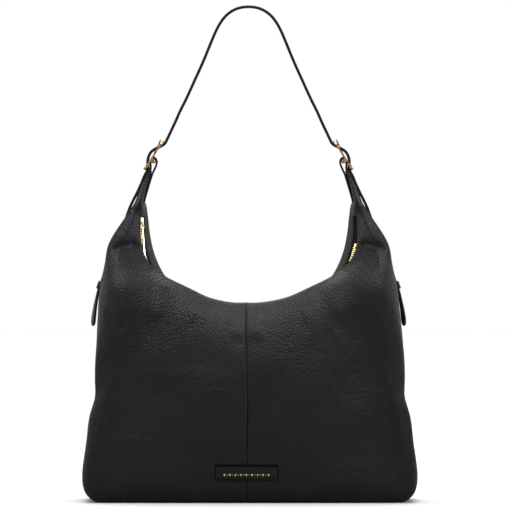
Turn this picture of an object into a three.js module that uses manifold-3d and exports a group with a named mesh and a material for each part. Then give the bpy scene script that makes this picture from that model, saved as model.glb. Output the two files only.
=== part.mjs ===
// A soft leather hobo bag: a slouchy body with two raised corners ("horns"), a zip that runs
// along a circular arc between the horns, brass centre-bar buckles and one adjustable shoulder strap.
// Millimetres, +Z up, X along the width, -Y is the front. Origin: centre of the underside.
import * as THREE from 'three';
import { mergeVertices } from 'three/addons/utils/BufferGeometryUtils.js';
import Module from 'manifold-3d';

const wasm = await Module();
wasm.setup();

// ---------------------------------------------------------------- driving dimensions
const ZC = 322;            // height of the zip arc's centre
const R = 127.5;           // radius of the zip's centre line
const TILT = THREE.MathUtils.degToRad(38);   // the zip faces up and a little to the front
const LEATHER = 1.8;       // wall of the leather panels
const ON_TAPE = 0.75;      // the panels lie this far above the middle of the zip tape
const TH_TOP = -6.5;       // the panels end here, just below the neck (degrees above the arc's centre: negative is higher)
const HINGE_Z = 349;       // height at which the necks bend when the strap swings
const STRAP_W = 20, STRAP_T = 2.6;
const TAB_T = 2.2;
const BAR_R = 1.5;         // end bars of the buckle
const PIN_R = 1.6;         // centre bar of the buckle
const GAP = 0.3;
const TOP_BAR = [-100.3, 416.6], BOTTOM_BAR = [-119.9, 386.0], CENTRE_BAR = [-110.5, 394.9];
const SLIDER_TH = -1.6;    // the slider's place on the arc when the bag is closed
const PULL_TILT = THREE.MathUtils.degToRad(7), BAR_TILT = THREE.MathUtils.degToRad(1);

// half width of the body by height
const OUTLINE = [[0, 178], [1.2, 181], [7, 187.8], [12.8, 191.6], [18.6, 193.3], [24.4, 194.2], [36, 194.3], [47.6, 192.9],
  [70.8, 189.5], [94, 186.9], [105.6, 184.6], [111.4, 182.5], [117.2, 180.6], [123, 179.3], [128.8, 179.1], [140.4, 179.6],
  [163.6, 179.2], [186.8, 177.5], [221, 175], [245, 173], [256.4, 171.2], [268, 168.4], [279.6, 166.2], [291.2, 164.5],
  [297, 163], [302.8, 160.4], [308.6, 157.1], [314.4, 153.4], [320.2, 149.5], [326, 145.5], [331.8, 141.5], [337.6, 138],
  [342, 134.5], [348, 129.8]];
// half depth at the seam between panel and gusset, and the gusset's inward fold, by height
const SEAM_HALF = [[0, 50], [20, 53.5], [60, 56], [120, 53], [180, 47], [230, 40], [270, 32], [300, 24.5], [320, 18.8], [337, 14], [348, 11]];
const FOLD = [[0, 0], [25, 0], [60, 3], [110, 9], [130, 10], [180, 7.5], [215, 6], [250, 5.8], [270, 8.5], [297, 13.5], [320, 10.5], [337, 4.8], [348, 3]];
// front and back ridges of the mouth, in polar form about the arc's centre: angle, radius, half depth
const FRONT_R = [[-8, 131.9], [3, 131.6], [10, 130.2], [18, 126.8], [24.7, 121.5], [30.8, 115.3], [37.4, 108.6], [43.8, 103.1], [50.9, 99.2], [59.2, 96.6], [73.3, 92.9], [90, 90.5]];
const FRONT_Y = [[-8, 10.2], [3, 10.4], [10, 11.2], [18, 13.8], [25, 17], [31, 20.5], [45, 26], [60, 29], [90, 31]];
const BACK_R = [[-8, 118.8], [0, 116], [10, 115], [31, 115], [37, 112], [44, 107.5], [59, 101], [73, 97], [90, 95]];
const BACK_Y = [[-8, 10.5], [0, 13], [10, 15.5], [31, 21], [45, 26], [60, 29], [90, 31]];
const OVER = [[-8, 2.5], [0, 3.5], [15, 6], [30, 8], [45, 9], [90, 9]];     // face stands this far in front of the seam
const BULGE = [[-8, 0], [0, 1], [15, 3], [30, 5], [60, 7], [90, 7]];

// ---------------------------------------------------------------- helpers
// monotone cubic through a table
function pchip(table) {
  const x = table.map(p => p[0]), y = table.map(p => p[1]), n = x.length;
  const h = [], d = [], m = new Array(n).fill(0);
  for (let i = 0; i < n - 1; i++) { h.push(x[i + 1] - x[i]); d.push((y[i + 1] - y[i]) / h[i]); }
  m[0] = d[0]; m[n - 1] = d[n - 2];
  for (let i = 1; i < n - 1; i++) {
    if (d[i - 1] * d[i] > 0) {
      const w1 = 2 * h[i] + h[i - 1], w2 = h[i] + 2 * h[i - 1];
      m[i] = (w1 + w2) / (w1 / d[i - 1] + w2 / d[i]);
    }
  }
  return v => {
    if (v <= x[0]) return y[0] + (v - x[0]) * m[0];
    if (v >= x[n - 1]) return y[n - 1] + (v - x[n - 1]) * m[n - 1];
    let i = 0; while (v > x[i + 1]) i++;
    const t = (v - x[i]) / h[i], t2 = t * t, t3 = t2 * t;
    return (2 * t3 - 3 * t2 + 1) * y[i] + (t3 - 2 * t2 + t) * h[i] * m[i] + (-2 * t3 + 3 * t2) * y[i + 1] + (t3 - t2) * h[i] * m[i + 1];
  };
}
const halfWidth = pchip(OUTLINE), seamHalf = pchip(SEAM_HALF), foldIn = pchip(FOLD);
const polarOut = pchip(OUTLINE.map(([z, a]) => [THREE.MathUtils.radToDeg(Math.atan2(ZC - z, a)), Math.hypot(a, ZC - z)]).sort((p, q) => p[0] - q[0]));
const CORNER = THREE.MathUtils.radToDeg(Math.atan2(ZC, 178));
const rad = THREE.MathUtils.degToRad;
const rOut = th => th < CORNER ? polarOut(th) : ZC / Math.sin(rad(th));
const frontR = pchip(FRONT_R), frontY = pchip(FRONT_Y), backR = pchip(BACK_R), backY = pchip(BACK_Y), over = pchip(OVER), bulge = pchip(BULGE);

function toManifold(geometry) {
  const g = (geometry.index ? geometry.toNonIndexed() : geometry.clone());
  for (const name of Object.keys(g.attributes)) if (name !== 'position') g.deleteAttribute(name);
  const m = mergeVertices(g, 1e-4);
  return new wasm.Manifold(new wasm.Mesh({ numProp: 3, vertProperties: new Float32Array(m.attributes.position.array), triVerts: new Uint32Array(m.index.array) }));
}
function toGeometry(solid) {
  const m = solid.getMesh();
  const g = new THREE.BufferGeometry();
  g.setAttribute('position', new THREE.BufferAttribute(new Float32Array(m.vertProperties), 3));
  g.setIndex(new THREE.BufferAttribute(new Uint32Array(m.triVerts), 1));
  return g;
}
function closed(positions, index) {
  let v = 0;
  for (let i = 0; i < index.length; i += 3) {
    const [a, b, c] = [positions[index[i]], positions[index[i + 1]], positions[index[i + 2]]];
    v += a.dot(new THREE.Vector3().crossVectors(b, c));
  }
  if (v < 0) for (let i = 0; i < index.length; i += 3) [index[i + 1], index[i + 2]] = [index[i + 2], index[i + 1]];
  const g = new THREE.BufferGeometry().setFromPoints(positions);
  g.setIndex(index);
  return g;
}
// a curved wall: an outer and an inner grid of points joined round the rim
function wall(outer, inner) {
  const nu = outer.length, nv = outer[0].length, pos = [], index = [];
  for (const grid of [outer, inner]) for (const row of grid) pos.push(...row);
  const id = (k, i, j) => k * nu * nv + i * nv + j;
  const quad = (a, b, c, d) => index.push(a, b, c, a, c, d);
  for (let i = 0; i < nu - 1; i++) for (let j = 0; j < nv - 1; j++) {
    quad(id(0, i, j), id(0, i + 1, j), id(0, i + 1, j + 1), id(0, i, j + 1));
    quad(id(1, i, j), id(1, i, j + 1), id(1, i + 1, j + 1), id(1, i + 1, j));
  }
  for (let i = 0; i < nu - 1; i++) {
    quad(id(0, i, 0), id(1, i, 0), id(1, i + 1, 0), id(0, i + 1, 0));
    quad(id(0, i, nv - 1), id(0, i + 1, nv - 1), id(1, i + 1, nv - 1), id(1, i, nv - 1));
  }
  for (let j = 0; j < nv - 1; j++) {
    quad(id(0, 0, j), id(0, 0, j + 1), id(1, 0, j + 1), id(1, 0, j));
    quad(id(0, nu - 1, j), id(1, nu - 1, j), id(1, nu - 1, j + 1), id(0, nu - 1, j + 1));
  }
  return closed(pos, index);
}
// inward offset of a grid of points by its own normals; side is +1 or -1
function inset(grid, t, side) {
  const nu = grid.length, nv = grid[0].length;
  return grid.map((row, i) => row.map((p, j) => {
    const du = new THREE.Vector3().subVectors(grid[Math.min(i + 1, nu - 1)][j], grid[Math.max(i - 1, 0)][j]);
    const dv = new THREE.Vector3().subVectors(grid[i][Math.min(j + 1, nv - 1)], grid[i][Math.max(j - 1, 0)]);
    const n = du.cross(dv).normalize().multiplyScalar(side * t);
    return p.clone().add(n);
  }));
}
// closed sections swept one after another; flat is the section's outline in two dimensions, for the end caps
function sweep(sections, flat) {
  const n = sections.length, m = sections[0].length, pos = sections.flat(), index = [];
  for (let i = 0; i < n - 1; i++) for (let j = 0; j < m; j++) {
    const a = i * m + j, b = i * m + (j + 1) % m, c = a + m, d = b + m;
    index.push(a, b, d, a, d, c);
  }
  const contour = flat.map(p => new THREE.Vector2(p[0], p[1]));
  const turn = THREE.ShapeUtils.area(contour);
  const caps = THREE.ShapeUtils.triangulateShape(contour, []).map(([a, b, c]) =>
    THREE.ShapeUtils.area([contour[a], contour[b], contour[c]]) * turn > 0 ? [a, b, c] : [a, c, b]);
  for (const [a, b, c] of caps) { index.push(a, c, b); const o = (n - 1) * m; index.push(o + a, o + b, o + c); }
  return closed(pos, index);
}
// a flat shape with holes, outline anticlockwise and holes clockwise
function flatShape(points, ...holes) {
  const turned = (list, clockwise) => {
    const v = list.map(p => new THREE.Vector2(p[0], p[1]));
    return THREE.ShapeUtils.isClockWise(v) === clockwise ? v : v.reverse();
  };
  const s = new THREE.Shape(turned(points, false));
  for (const hole of holes) s.holes.push(new THREE.Path(turned(hole, true)));
  return s;
}
// an outline in the X-Z plane, given depth along Y
function alongY(points, y0, y1) {
  const g = new THREE.ExtrudeGeometry(flatShape(points), { depth: y1 - y0, bevelEnabled: false });
  g.rotateX(Math.PI / 2); g.translate(0, y1, 0);
  return g;
}
function barY(x, z, r, half, sides = 16) {
  const g = new THREE.CylinderGeometry(r, r, 2 * half, sides);
  g.translate(x, 0, z);
  return g;
}
const union = (...g) => toGeometry(g.map(toManifold).reduce((a, b) => a.add(b)));
const cut = (g, ...tools) => toGeometry(tools.map(toManifold).reduce((a, b) => a.subtract(b), toManifold(g)));
const keep = (g, tool) => toGeometry(toManifold(g).intersect(toManifold(tool)));
function mirrored(g) {
  const out = (g.index ? g.toNonIndexed() : g.clone());
  for (const name of Object.keys(out.attributes)) if (name !== 'position') out.deleteAttribute(name);
  const p = out.attributes.position;
  for (let i = 0; i < p.count; i++) p.setX(i, -p.getX(i));
  for (let i = 0; i < p.count; i += 3) {
    const b = new THREE.Vector3().fromBufferAttribute(p, i + 1), c = new THREE.Vector3().fromBufferAttribute(p, i + 2);
    p.setXYZ(i + 1, c.x, c.y, c.z); p.setXYZ(i + 2, b.x, b.y, b.z);
  }
  return out;
}
// point on the arc's polar frame: angle in degrees, radius, depth
const polar = (th, r, y) => new THREE.Vector3(-r * Math.cos(rad(th)), y, ZC - r * Math.sin(rad(th)));
// point on the zip's own frame: w across the tape (towards the back), n out of the mouth
const zipPoint = (th, w, n) => polar(th, R - w * Math.sin(TILT) - n * Math.cos(TILT), w * Math.cos(TILT) - n * Math.sin(TILT));

const zipFrame = (w, n) => [R - w * Math.sin(TILT) - n * Math.cos(TILT), w * Math.cos(TILT) - n * Math.sin(TILT)];

// ---------------------------------------------------------------- leather panels
// One section of a panel at an angle: zip edge, facing, ridge, face, rounded edge, seam.
function panelSection(th, front) {
  const t = Math.min(th, 180 - th);
  const s = front ? -1 : 1;
  const [rA, yA] = zipFrame(s * 7.5, ON_TAPE + LEATHER), [rC, yC] = zipFrame(s * 9, ON_TAPE + LEATHER);
  const rB = (front ? frontR : backR)(t), yB = s * (front ? frontY : backY)(t);
  const rD = rOut(t) - 0.0, zD = ZC - rD * Math.sin(rad(t));
  const seam = zD < 0.5 ? 50 : seamHalf(zD);
  const yEnd = s * (seam + over(t)), L = rD - rB;
  const face = f => yB + (yEnd - yB) * (1 - (1 - f) ** 2) + s * bulge(t) * Math.sin(Math.PI * f);
  const pts = [[rA, yA], [rC, yC]];
  for (const k of [0.4, 0.8]) pts.push([rC + k * (rB - rC), yC + k * (yB - yC)]);
  pts.push([rB, yB]);
  const corner = Math.min(12, 0.42 * L);
  const f0 = 1 - corner / L;
  for (const k of [0.06, 0.16, 0.32, 0.5, 0.7, 0.88]) pts.push([rB + k * f0 * L, face(k * f0)]);
  const yF = face(f0), ySeam = s * (seam + 0.3 + 1.0 * Math.min(1, Math.max(0, (zD - 290) / 30)));
  for (const a of [0, 0.3, 0.6, 0.85, 1]) {
    const c = Math.sin(a * Math.PI / 2), e = Math.cos(a * Math.PI / 2);
    pts.push([rD - corner + corner * c, ySeam + (yF - ySeam) * e]);
  }
  return pts;
}
const THETAS = [TH_TOP, -3, 1, 5, 10, 15, 20, 25, 30, 35, 40, 45, 50, 54, 56.5, 58, 59.2, 60.4, 62.5, 68, 75, 82, 89.93];
function panel(front) {
  const outer = THETAS.map(th => panelSection(th, front).map(([r, y]) => polar(th, r, y)));
  const inner = inset(outer, LEATHER, front ? 1 : -1), last = outer[0].length - 1, s = front ? -1 : 1;
  THETAS.forEach((th, i) => {
    // square edges where the panel meets the zip tape and the gusset
    inner[i][0] = polar(th, ...zipFrame(s * 7.5, ON_TAPE));
    inner[i][1] = polar(th, ...zipFrame(s * 9, ON_TAPE));
    inner[i][last] = outer[i][last].clone().add(new THREE.Vector3(Math.cos(rad(th)), 0, Math.sin(rad(th))).multiplyScalar(LEATHER));
  });
  return wall(outer, inner);
}
// depth of the front face at a point of the front view
function frontDepth(x, z) {
  const th = THREE.MathUtils.radToDeg(Math.atan2(ZC - z, Math.abs(x))), r = Math.hypot(x, ZC - z);
  const yB = -frontY(th), rB = frontR(th), rD = rOut(th), zD = ZC - rD * Math.sin(rad(th));
  const yEnd = -((zD < 0.5 ? 50 : seamHalf(zD)) + over(th)), f = (r - rB) / (rD - rB);
  return yB + (yEnd - yB) * (1 - (1 - f) ** 2) - bulge(th) * Math.sin(Math.PI * f);
}

// ---------------------------------------------------------------- gussets and base
const Z_SIDE = [0.6, 2.5, 7, 13, 20, 30, 45, 62, 80, 98, 112, 125, 140, 160, 185, 210, 230, 250, 265, 280, 292, 303, 313, 323, 331, 336.5];
function gusset() {
  const V = [-1, -0.72, -0.42, -0.14, 0.14, 0.42, 0.72, 1];
  const at = (z, v, inward) => {
    const b = seamHalf(z) - 0.3, c = foldIn(z) * (1 - v * v) ** 0.8;
    return new THREE.Vector3(-(halfWidth(z) - c - inward), v * b, z);
  };
  // the wall is measured square to the outline, so that the corner keeps its thickness
  const outer = Z_SIDE.map(z => V.map(v => at(z, v, 0)));
  const inner = inset(outer, LEATHER, -1);
  Z_SIDE.forEach((z, i) => {
    const slope = (halfWidth(z + 0.5) - halfWidth(z - 0.5)), q = Math.hypot(1, slope);
    for (const j of [0, V.length - 1]) inner[i][j] = outer[i][j].clone().add(new THREE.Vector3(LEATHER / q, 0, LEATHER * slope / q));
  });
  return wall(outer, inner);
}
const basePanel = new THREE.BoxGeometry(2 * 177, 2 * 49.6, LEATHER).translate(0, 0, LEATHER / 2);
const baseBoard = new THREE.BoxGeometry(334, 90, 1.6).translate(0, 0, 2.2 + 0.8);

// ---------------------------------------------------------------- lining: an open-topped bag of cloth
function lining() {
  const zs = [4.4, 6, 12, 30, 60, 90, 115, 130, 150, 168, 181];
  const ring = (z, t) => {
    const A = halfWidth(z) - foldIn(z) - 5.5 - t - (z < 20 ? (20 - z) * 0.75 : 0), B = Math.min(-frontDepth(0, z), 56) - 6 - t - (z < 14 ? (14 - z) * 0.6 : 0);
    const out = [];
    for (let k = 0; k < 28; k++) {
      const a = 2 * Math.PI * k / 28, c = Math.cos(a), s = Math.sin(a);
      out.push(new THREE.Vector3(A * Math.sign(c) * Math.abs(c) ** 0.55, B * Math.sign(s) * Math.abs(s) ** 0.55, z));
    }
    return out;
  };
  const outer = zs.map(z => ring(z, 0)), inner = zs.map((z, i) => ring(i ? z : z + 0.9, 0.9));
  inner[0].forEach(p => { p.z = 5.3; });
  const sections = [...outer, ...inner.reverse()];
  const flat = outer[0].map(p => [p.x, p.y]);
  return sweep(sections, flat);
}
const innerPocket = (() => {           // slip pocket sewn to the back of the lining
  const rows = [40, 60, 80, 100, 120, 138], cols = [-80, -40, 0, 40, 80];
  const outer = rows.map(z => cols.map(x => new THREE.Vector3(x, Math.min(-frontDepth(0, z), 56) - 6 - 0.9 - 3.4, z)));
  const inner = outer.map(r => r.map(p => p.clone().add(new THREE.Vector3(0, -0.9, 0))));
  return wall(outer, inner);
})();

// ---------------------------------------------------------------- zip
const arcSteps = (a, b, step) => { const n = Math.max(1, Math.ceil((b - a) / step)); return Array.from({ length: n + 1 }, (_, i) => a + (b - a) * i / n); };
const band = (a, b, step, flat) => sweep(arcSteps(a, b, step).map(th => flat.map(([w, n]) => zipPoint(th, w, n))), flat);
const rect = (w0, w1, n0, n1) => [[w0, n0], [w1, n0], [w1, n1], [w0, n1]];
const tapeBack = band(-4.4, 184, 5.5, rect(2.9, 8.7, -0.4, 0.4));
const tapeFront = band(-4.4, 184, 5.5, rect(-8.7, -2.9, -0.4, 0.4));
const teethBack = band(-3.2, 167.2, 4, rect(0.15, 2.6, -1.4, 1.6));
const teethFront = band(-3.2, 167.2, 4, rect(-2.6, -0.15, -1.4, 1.6));
const topStop = band(-4.2, -3.5, 1, rect(-2.4, 2.4, -1.4, 1.6));
const bottomStop = band(167.6, 169.4, 1, rect(-2.7, 2.7, -1.4, 1.6));
const sliderPlate = band(-3.3, 1.9, 2, [[-4.6, 0.85], [-3.0, 0.85], [-3.0, 1.95], [3.0, 1.95], [3.0, 0.85], [4.6, 0.85], [4.6, 2.6], [3.8, 3.2], [-3.8, 3.2], [-4.6, 2.6]]);

// frame of the slider: t along the arc (towards the right horn), w across, n out
function sliderFrame() {
  const o = zipPoint(SLIDER_TH, 0, 0), a = rad(SLIDER_TH);
  const t = new THREE.Vector3(Math.sin(a), 0, -Math.cos(a));
  const er = new THREE.Vector3(-Math.cos(a), 0, -Math.sin(a)), Y = new THREE.Vector3(0, 1, 0);
  const w = er.clone().multiplyScalar(-Math.sin(TILT)).addScaledVector(Y, Math.cos(TILT));
  const n = er.clone().multiplyScalar(-Math.cos(TILT)).addScaledVector(Y, -Math.sin(TILT));
  return { o, t, w, n, m: new THREE.Matrix4().makeBasis(t, w, n).setPosition(o) };
}
const SF = sliderFrame();
// the bridge that carries the pull: an arch standing on the plate, open across
const bridgeShape = flatShape([[-4.4, 2.9], [-4.4, 4.6], [-3.4, 5.9], [2.6, 5.9], [3.6, 4.6], [3.6, 2.9]],
  [[-3.0, 3.6], [-3.0, 4.3], [-2.5, 4.9], [1.7, 4.9], [2.2, 4.3], [2.2, 3.6]]);
const bridge = new THREE.ExtrudeGeometry(bridgeShape, { depth: 2.4, bevelEnabled: false });
bridge.rotateX(Math.PI / 2); bridge.translate(0, 1.2, 0);         // shape x -> t, shape y -> n, depth -> w
bridge.applyMatrix4(SF.m);
const slider = union(sliderPlate, bridge);

// pull link: a wire loop through the bridge, hanging along +t
const LINK_PIVOT = [0.9, 4.25];        // in (t, n)
const linkLen = 9.0, wire = 0.55;
function loopPath() {
  const h = 2.6, c = 0.8, L = linkLen - 0.6, pts = [[c, -h], [L - c, -h], [L - 0.23, -h + 0.23], [L, -h + c], [L, h - c], [L - 0.23, h - 0.23], [L - c, h], [c, h], [0.23, h - 0.23], [0, h - c], [0, -h + c], [0.23, -h + 0.23]];
  return pts.map(([x, y]) => new THREE.Vector3(x, y, 0));
}
const linkRaw = (() => {
  // closed ring of round wire: swept by hand so that it closes on itself
  const curve = new THREE.CatmullRomCurve3(loopPath(), true, 'centripetal');
  const N = 32, M = 8, pos = [], index = [];
  for (let i = 0; i < N; i++) {
    const p = curve.getPointAt(i / N), tg = curve.getTangentAt(i / N), side = new THREE.Vector3(0, 0, 1), out = new THREE.Vector3().crossVectors(tg, side).normalize();
    for (let j = 0; j < M; j++) { const a = 2 * Math.PI * j / M; pos.push(p.clone().addScaledVector(out, wire * Math.cos(a)).addScaledVector(side, wire * Math.sin(a))); }
  }
  for (let i = 0; i < N; i++) for (let j = 0; j < M; j++) {
    const a = i * M + j, b = i * M + (j + 1) % M, c = ((i + 1) % N) * M + j, d = ((i + 1) % N) * M + (j + 1) % M;
    index.push(a, b, d, a, d, c);
  }
  return closed(pos, index);
})();
// in the link's frame x runs along it from the pivot; rotate out of the zip by PULL_TILT
const linkM = SF.m.clone().multiply(new THREE.Matrix4().makeTranslation(LINK_PIVOT[0], 0, LINK_PIVOT[1])).multiply(new THREE.Matrix4().makeRotationY(-PULL_TILT));
const pullLink = linkRaw.clone().applyMatrix4(linkM);
// pull bar: a slim brass bar whose eye turns on the link's far end
const BAR_AT = linkLen - 0.6;
const barRaw = (() => {
  const eye = Array.from({ length: 11 }, (_, k) => { const a = rad(40 + 28 * k); return [1.75 * Math.cos(a), 1.75 * Math.sin(a)]; });
  const hole = Array.from({ length: 14 }, (_, k) => [0.95 * Math.cos(k * Math.PI / 7), 0.95 * Math.sin(k * Math.PI / 7)]);
  const g = new THREE.ExtrudeGeometry(flatShape([...eye, [2.4, -0.95], [33.8, -0.95], [34.6, -0.5], [34.6, 0.5], [33.8, 0.95], [2.4, 0.95]], hole), { depth: 3, bevelEnabled: false });
  g.rotateX(Math.PI / 2); g.translate(0, 1.5, 0);
  return g;
})();
const barM = linkM.clone().multiply(new THREE.Matrix4().makeTranslation(BAR_AT, 0, 0)).multiply(new THREE.Matrix4().makeRotationY(-BAR_TILT));
const pullBar = barRaw.clone().applyMatrix4(barM);

// ---------------------------------------------------------------- strap, tabs and buckles (left side; the right side is its mirror image)
const ARCH = [[0, 573.9], [9, 572.9], [16.7, 570.2], [22.9, 566.2], [27.6, 561.8], [31.4, 556.9], [34.6, 551.8], [38.6, 543.8], [43.4, 532.6], [48, 521.2], [52.6, 510.2], [57.8, 498.5], [63.1, 487], [68.3, 475.5], [73.7, 463.9], [79.5, 452.4], [84.6, 440.9], [89.9, 429.6], [93.2, 422.6], [95.0, 418.9], [97.2, 414.9]];
const WEAVE = [[101.8, 411.8], [107.2, 409.2], [112.2, 406.1], [115.2, 401.8], [116.7, 397.6], [117.2, 393], [117.0, 389], [116.5, 385.4]];
const DROP = [[118.2, 382], [121.2, 377.2], [125.2, 367.7], [128.9, 358.4], [132.6, 349.2], [136.4, 340]];
const TAIL = [[137.3, 338], [140, 331.4], [145.5, 318], [153.8, 297.6], [161, 279.8], [168.7, 260.2], [172.2, 250.2], [174.6, 243], [177, 231.5], [179.2, 218], [180.6, 203]];
const curve2 = pts => new THREE.CatmullRomCurve3(pts.map(p => new THREE.Vector3(p[0], 0, p[1])), false, 'centripetal');
function ribbon(curve, n, t, y0, y1) {
  const out = [], back = [];
  for (let i = 0; i <= n; i++) {
    const p = curve.getPointAt(i / n), g = curve.getTangentAt(i / n), nx = -g.z, nz = g.x;
    out.push([p.x + nx * t / 2, p.z + nz * t / 2]); back.push([p.x - nx * t / 2, p.z - nz * t / 2]);
  }
  const loop = [...out, ...back.reverse()];
  return alongY(loop, y0, y1);
}
const half = [...ARCH.slice(1), ...WEAVE, ...DROP];
const strapPath = curve2([...half.map(([x, z]) => [-x, z]).reverse(), [0, ARCH[0][1]], ...half]);
const knuckle = union(new THREE.BoxGeometry(400, 60, 300).translate(0, 0, HINGE_Z + 150), new THREE.CylinderGeometry(STRAP_W / 2, STRAP_W / 2, 400, 24).rotateZ(Math.PI / 2).translate(0, 0, HINGE_Z));
const slot = (x0, z0, x1, z1, w, deep) => {       // a flat slot through the strap, square to the line between two points
  const L = Math.hypot(x1 - x0, z1 - z0), g = new THREE.BoxGeometry(L, w, deep);
  g.rotateY(-Math.atan2(z1 - z0, x1 - x0)); g.translate((x0 + x1) / 2, 0, (z0 + z1) / 2);
  return g;
};
const prongSlotL = slot(-101.4, 412.6, -113.8, 404.6, 4.0, 8);
const strap = cut(keep(ribbon(strapPath, 120, STRAP_T, -STRAP_W / 2, STRAP_W / 2), knuckle), prongSlotL, mirrored(prongSlotL));
const pointCut = s => { const g = new THREE.BoxGeometry(20, 20, 20); g.rotateX(s * Math.PI / 4); g.translate(-180.6, s * (STRAP_W / 2 + 4.6), 203 - 4.6); return g; };
const tailL = cut(ribbon(curve2(TAIL.map(([x, z]) => [-x, z])), 26, STRAP_T, -STRAP_W / 2, STRAP_W / 2), pointCut(1), pointCut(-1));
const KEEPER_AT = [-172.3, 250.0], KEEPER_TILT = Math.atan2(176.4 - 168.7, 260.2 - 243) * 0.78;
const keeperL = (() => {
  const s = flatShape([[-3.6, -12.4], [3.1, -12.4], [3.1, 12.4], [-3.6, 12.4]], [[-2.1, -10.9], [1.9, -10.9], [1.9, 10.9], [-2.1, 10.9]]);
  const g = new THREE.ExtrudeGeometry(s, { depth: 9, bevelEnabled: false });
  g.translate(0, 0, -4.5); g.rotateY(KEEPER_TILT); g.translate(KEEPER_AT[0], 0, KEEPER_AT[1]);
  return g;
})();

// tab: a leather strip folded round the centre bar, both ends sewn to the neck
const TAB = [[118.9, 339.2], [118.8, 350], [117.0, 356], [115.1, 363], [112.8, 372], [111.0, 379], [109.0, 384], [107.3, 388.6], [106.5, 393.4], [107.9, 397.3], [110.9, 398.4], [113.5, 396.1], [113.9, 391.5], [113.6, 386], [114.6, 382.2], [117.4, 377.6], [121.6, 367.7], [125.3, 358.4], [128.7, 350], [131.2, 339.2]];
const tabKnuckle = union(new THREE.BoxGeometry(400, 60, 300).translate(0, 0, HINGE_Z + 150), new THREE.CylinderGeometry(9.6, 9.6, 400, 24).rotateZ(Math.PI / 2).translate(0, 0, HINGE_Z));
const tabCurve = curve2(TAB.map(([x, z]) => [-x, z]));
const tabSlot = new THREE.BoxGeometry(14, 4.4, 14).translate(CENTRE_BAR[0] - 0.5, 0, CENTRE_BAR[1] + 0.4);
const tabL = cut(keep(ribbon(tabCurve, 64, TAB_T, -9.6, 9.6), tabKnuckle), tabSlot);
// neck: the gathered leather of the horn, held between the two ends of the tab
const NECK_IN = [[120.3, 339.4], [120.2, 350], [118.4, 356], [116.5, 363], [114.2, 372], [112.6, 378.5]];
const NECK_OUT = [[129.8, 339.4], [127.3, 350], [123.8, 358.4], [120.1, 367.7], [116.2, 376.8]];
const neckL = keep(alongY([...NECK_IN.map(([x, z]) => [-x, z]), ...NECK_OUT.map(([x, z]) => [-x, z]).reverse()], -9.2, 9.2), tabKnuckle);

// buckle frame: two side rails, a bar at each end and a centre bar
function buckle() {
  const [tx, tz] = TOP_BAR, [bx, bz] = BOTTOM_BAR, [cx, cz] = CENTRE_BAR;
  const L = Math.hypot(tx - bx, tz - bz), ang = Math.atan2(tz - bz, tx - bx);
  const parts = [barY(tx, tz, BAR_R, 13.4), barY(bx, bz, BAR_R, 13.4), barY(cx, cz, PIN_R, 12.6, 20)];
  for (const s of [-1, 1]) {
    const rail = new THREE.BoxGeometry(L, 2.4, 2.2); rail.rotateY(-ang); rail.translate((tx + bx) / 2, s * 12.2, (tz + bz) / 2); parts.push(rail);
    for (const [x, z, r] of [[tx, tz, 2.3], [bx, bz, 2.7]]) { const k = barY(x, z, r, 1.3, 16); k.translate(0, s * 12.2, 0); parts.push(k); }
    const lobe = barY(cx, cz, 2.6, 1.2, 16); lobe.translate(0, s * 12.2, 0); parts.push(lobe);
    const web = new THREE.BoxGeometry(5.2, 2.4, 3.4); web.rotateY(-ang); web.translate((cx + bx * 0.4 + tx * 0.6) / 2 - 0.6, s * 12.2, (cz + bz * 0.4 + tz * 0.6) / 2 - 2.0); parts.push(web);
  }
  return union(...parts);
}
const buckleL = buckle();
// prong: an eye round the centre bar and a shank that rests on the top bar
const prongL = (() => {
  const [cx, cz] = CENTRE_BAR, [tx, tz] = TOP_BAR;
  const d = new THREE.Vector2(tx - cx, tz - cz).normalize(), n = new THREE.Vector2(-d.y, d.x);
  const tip = new THREE.Vector2(tx, tz).addScaledVector(n, BAR_R + GAP + 1.0).addScaledVector(d, 2.2);
  const dir = tip.clone().sub(new THREE.Vector2(cx, cz)), len = dir.length(); dir.normalize();
  const ring = cut(barY(cx, cz, 3.2, 1.4, 20), barY(cx, cz, PIN_R + GAP, 3, 20));
  const shank = new THREE.CylinderGeometry(0.8, 1.1, len - 2.4, 10);
  shank.rotateX(Math.PI / 2); shank.rotateY(0);                    // along Z
  shank.translate(0, 0, (len - 2.4) / 2 + 2.4);
  shank.rotateY(Math.atan2(dir.x, dir.y));
  shank.translate(cx, 0, cz);
  return cut(union(ring, shank), barY(cx, cz, PIN_R + GAP, 3, 20));
})();

// ---------------------------------------------------------------- label
const label = (() => {
  const xs = [-37, -35.5, -20, -0, 20, 35.5, 37], zs = [23, 24.5, 32, 39.5, 41];
  const grid = d => zs.map((z, i) => xs.map((x, j) => {
    const cx = (j === 0 || j === xs.length - 1) && (i === 0 || i === zs.length - 1) ? 0.6 : 1;
    const X = cx === 1 ? x : Math.sign(x) * 36.4, Z = cx === 1 ? z : (i === 0 ? 23.6 : 40.4);
    return new THREE.Vector3(X, frontDepth(X, Z) - d, Z);
  }));
  return wall(grid(2.3), grid(0.6));
})();

// ---------------------------------------------------------------- assembly
const leather = new THREE.MeshStandardMaterial({ color: 0x242424, roughness: 0.5, metalness: 0 });
const strapLeather = new THREE.MeshStandardMaterial({ color: 0x1a1a1b, roughness: 0.45, metalness: 0 });
const cloth = new THREE.MeshStandardMaterial({ color: 0x6b5a48, roughness: 0.9, metalness: 0 });
const tape = new THREE.MeshStandardMaterial({ color: 0x121213, roughness: 0.85, metalness: 0 });
const board = new THREE.MeshStandardMaterial({ color: 0x8a7a62, roughness: 0.9, metalness: 0 });
const brass = new THREE.MeshStandardMaterial({ color: 0xc9a35c, roughness: 0.3, metalness: 1 });

const bag = new THREE.Group(); bag.name = 'bag';
const handle = new THREE.Group(); handle.name = 'handle';
const pull = new THREE.Group(); pull.name = 'zip_pull';
const add = (group, name, geometry, material) => { const m = new THREE.Mesh(geometry, material); m.name = name; group.add(m); return m; };

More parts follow.
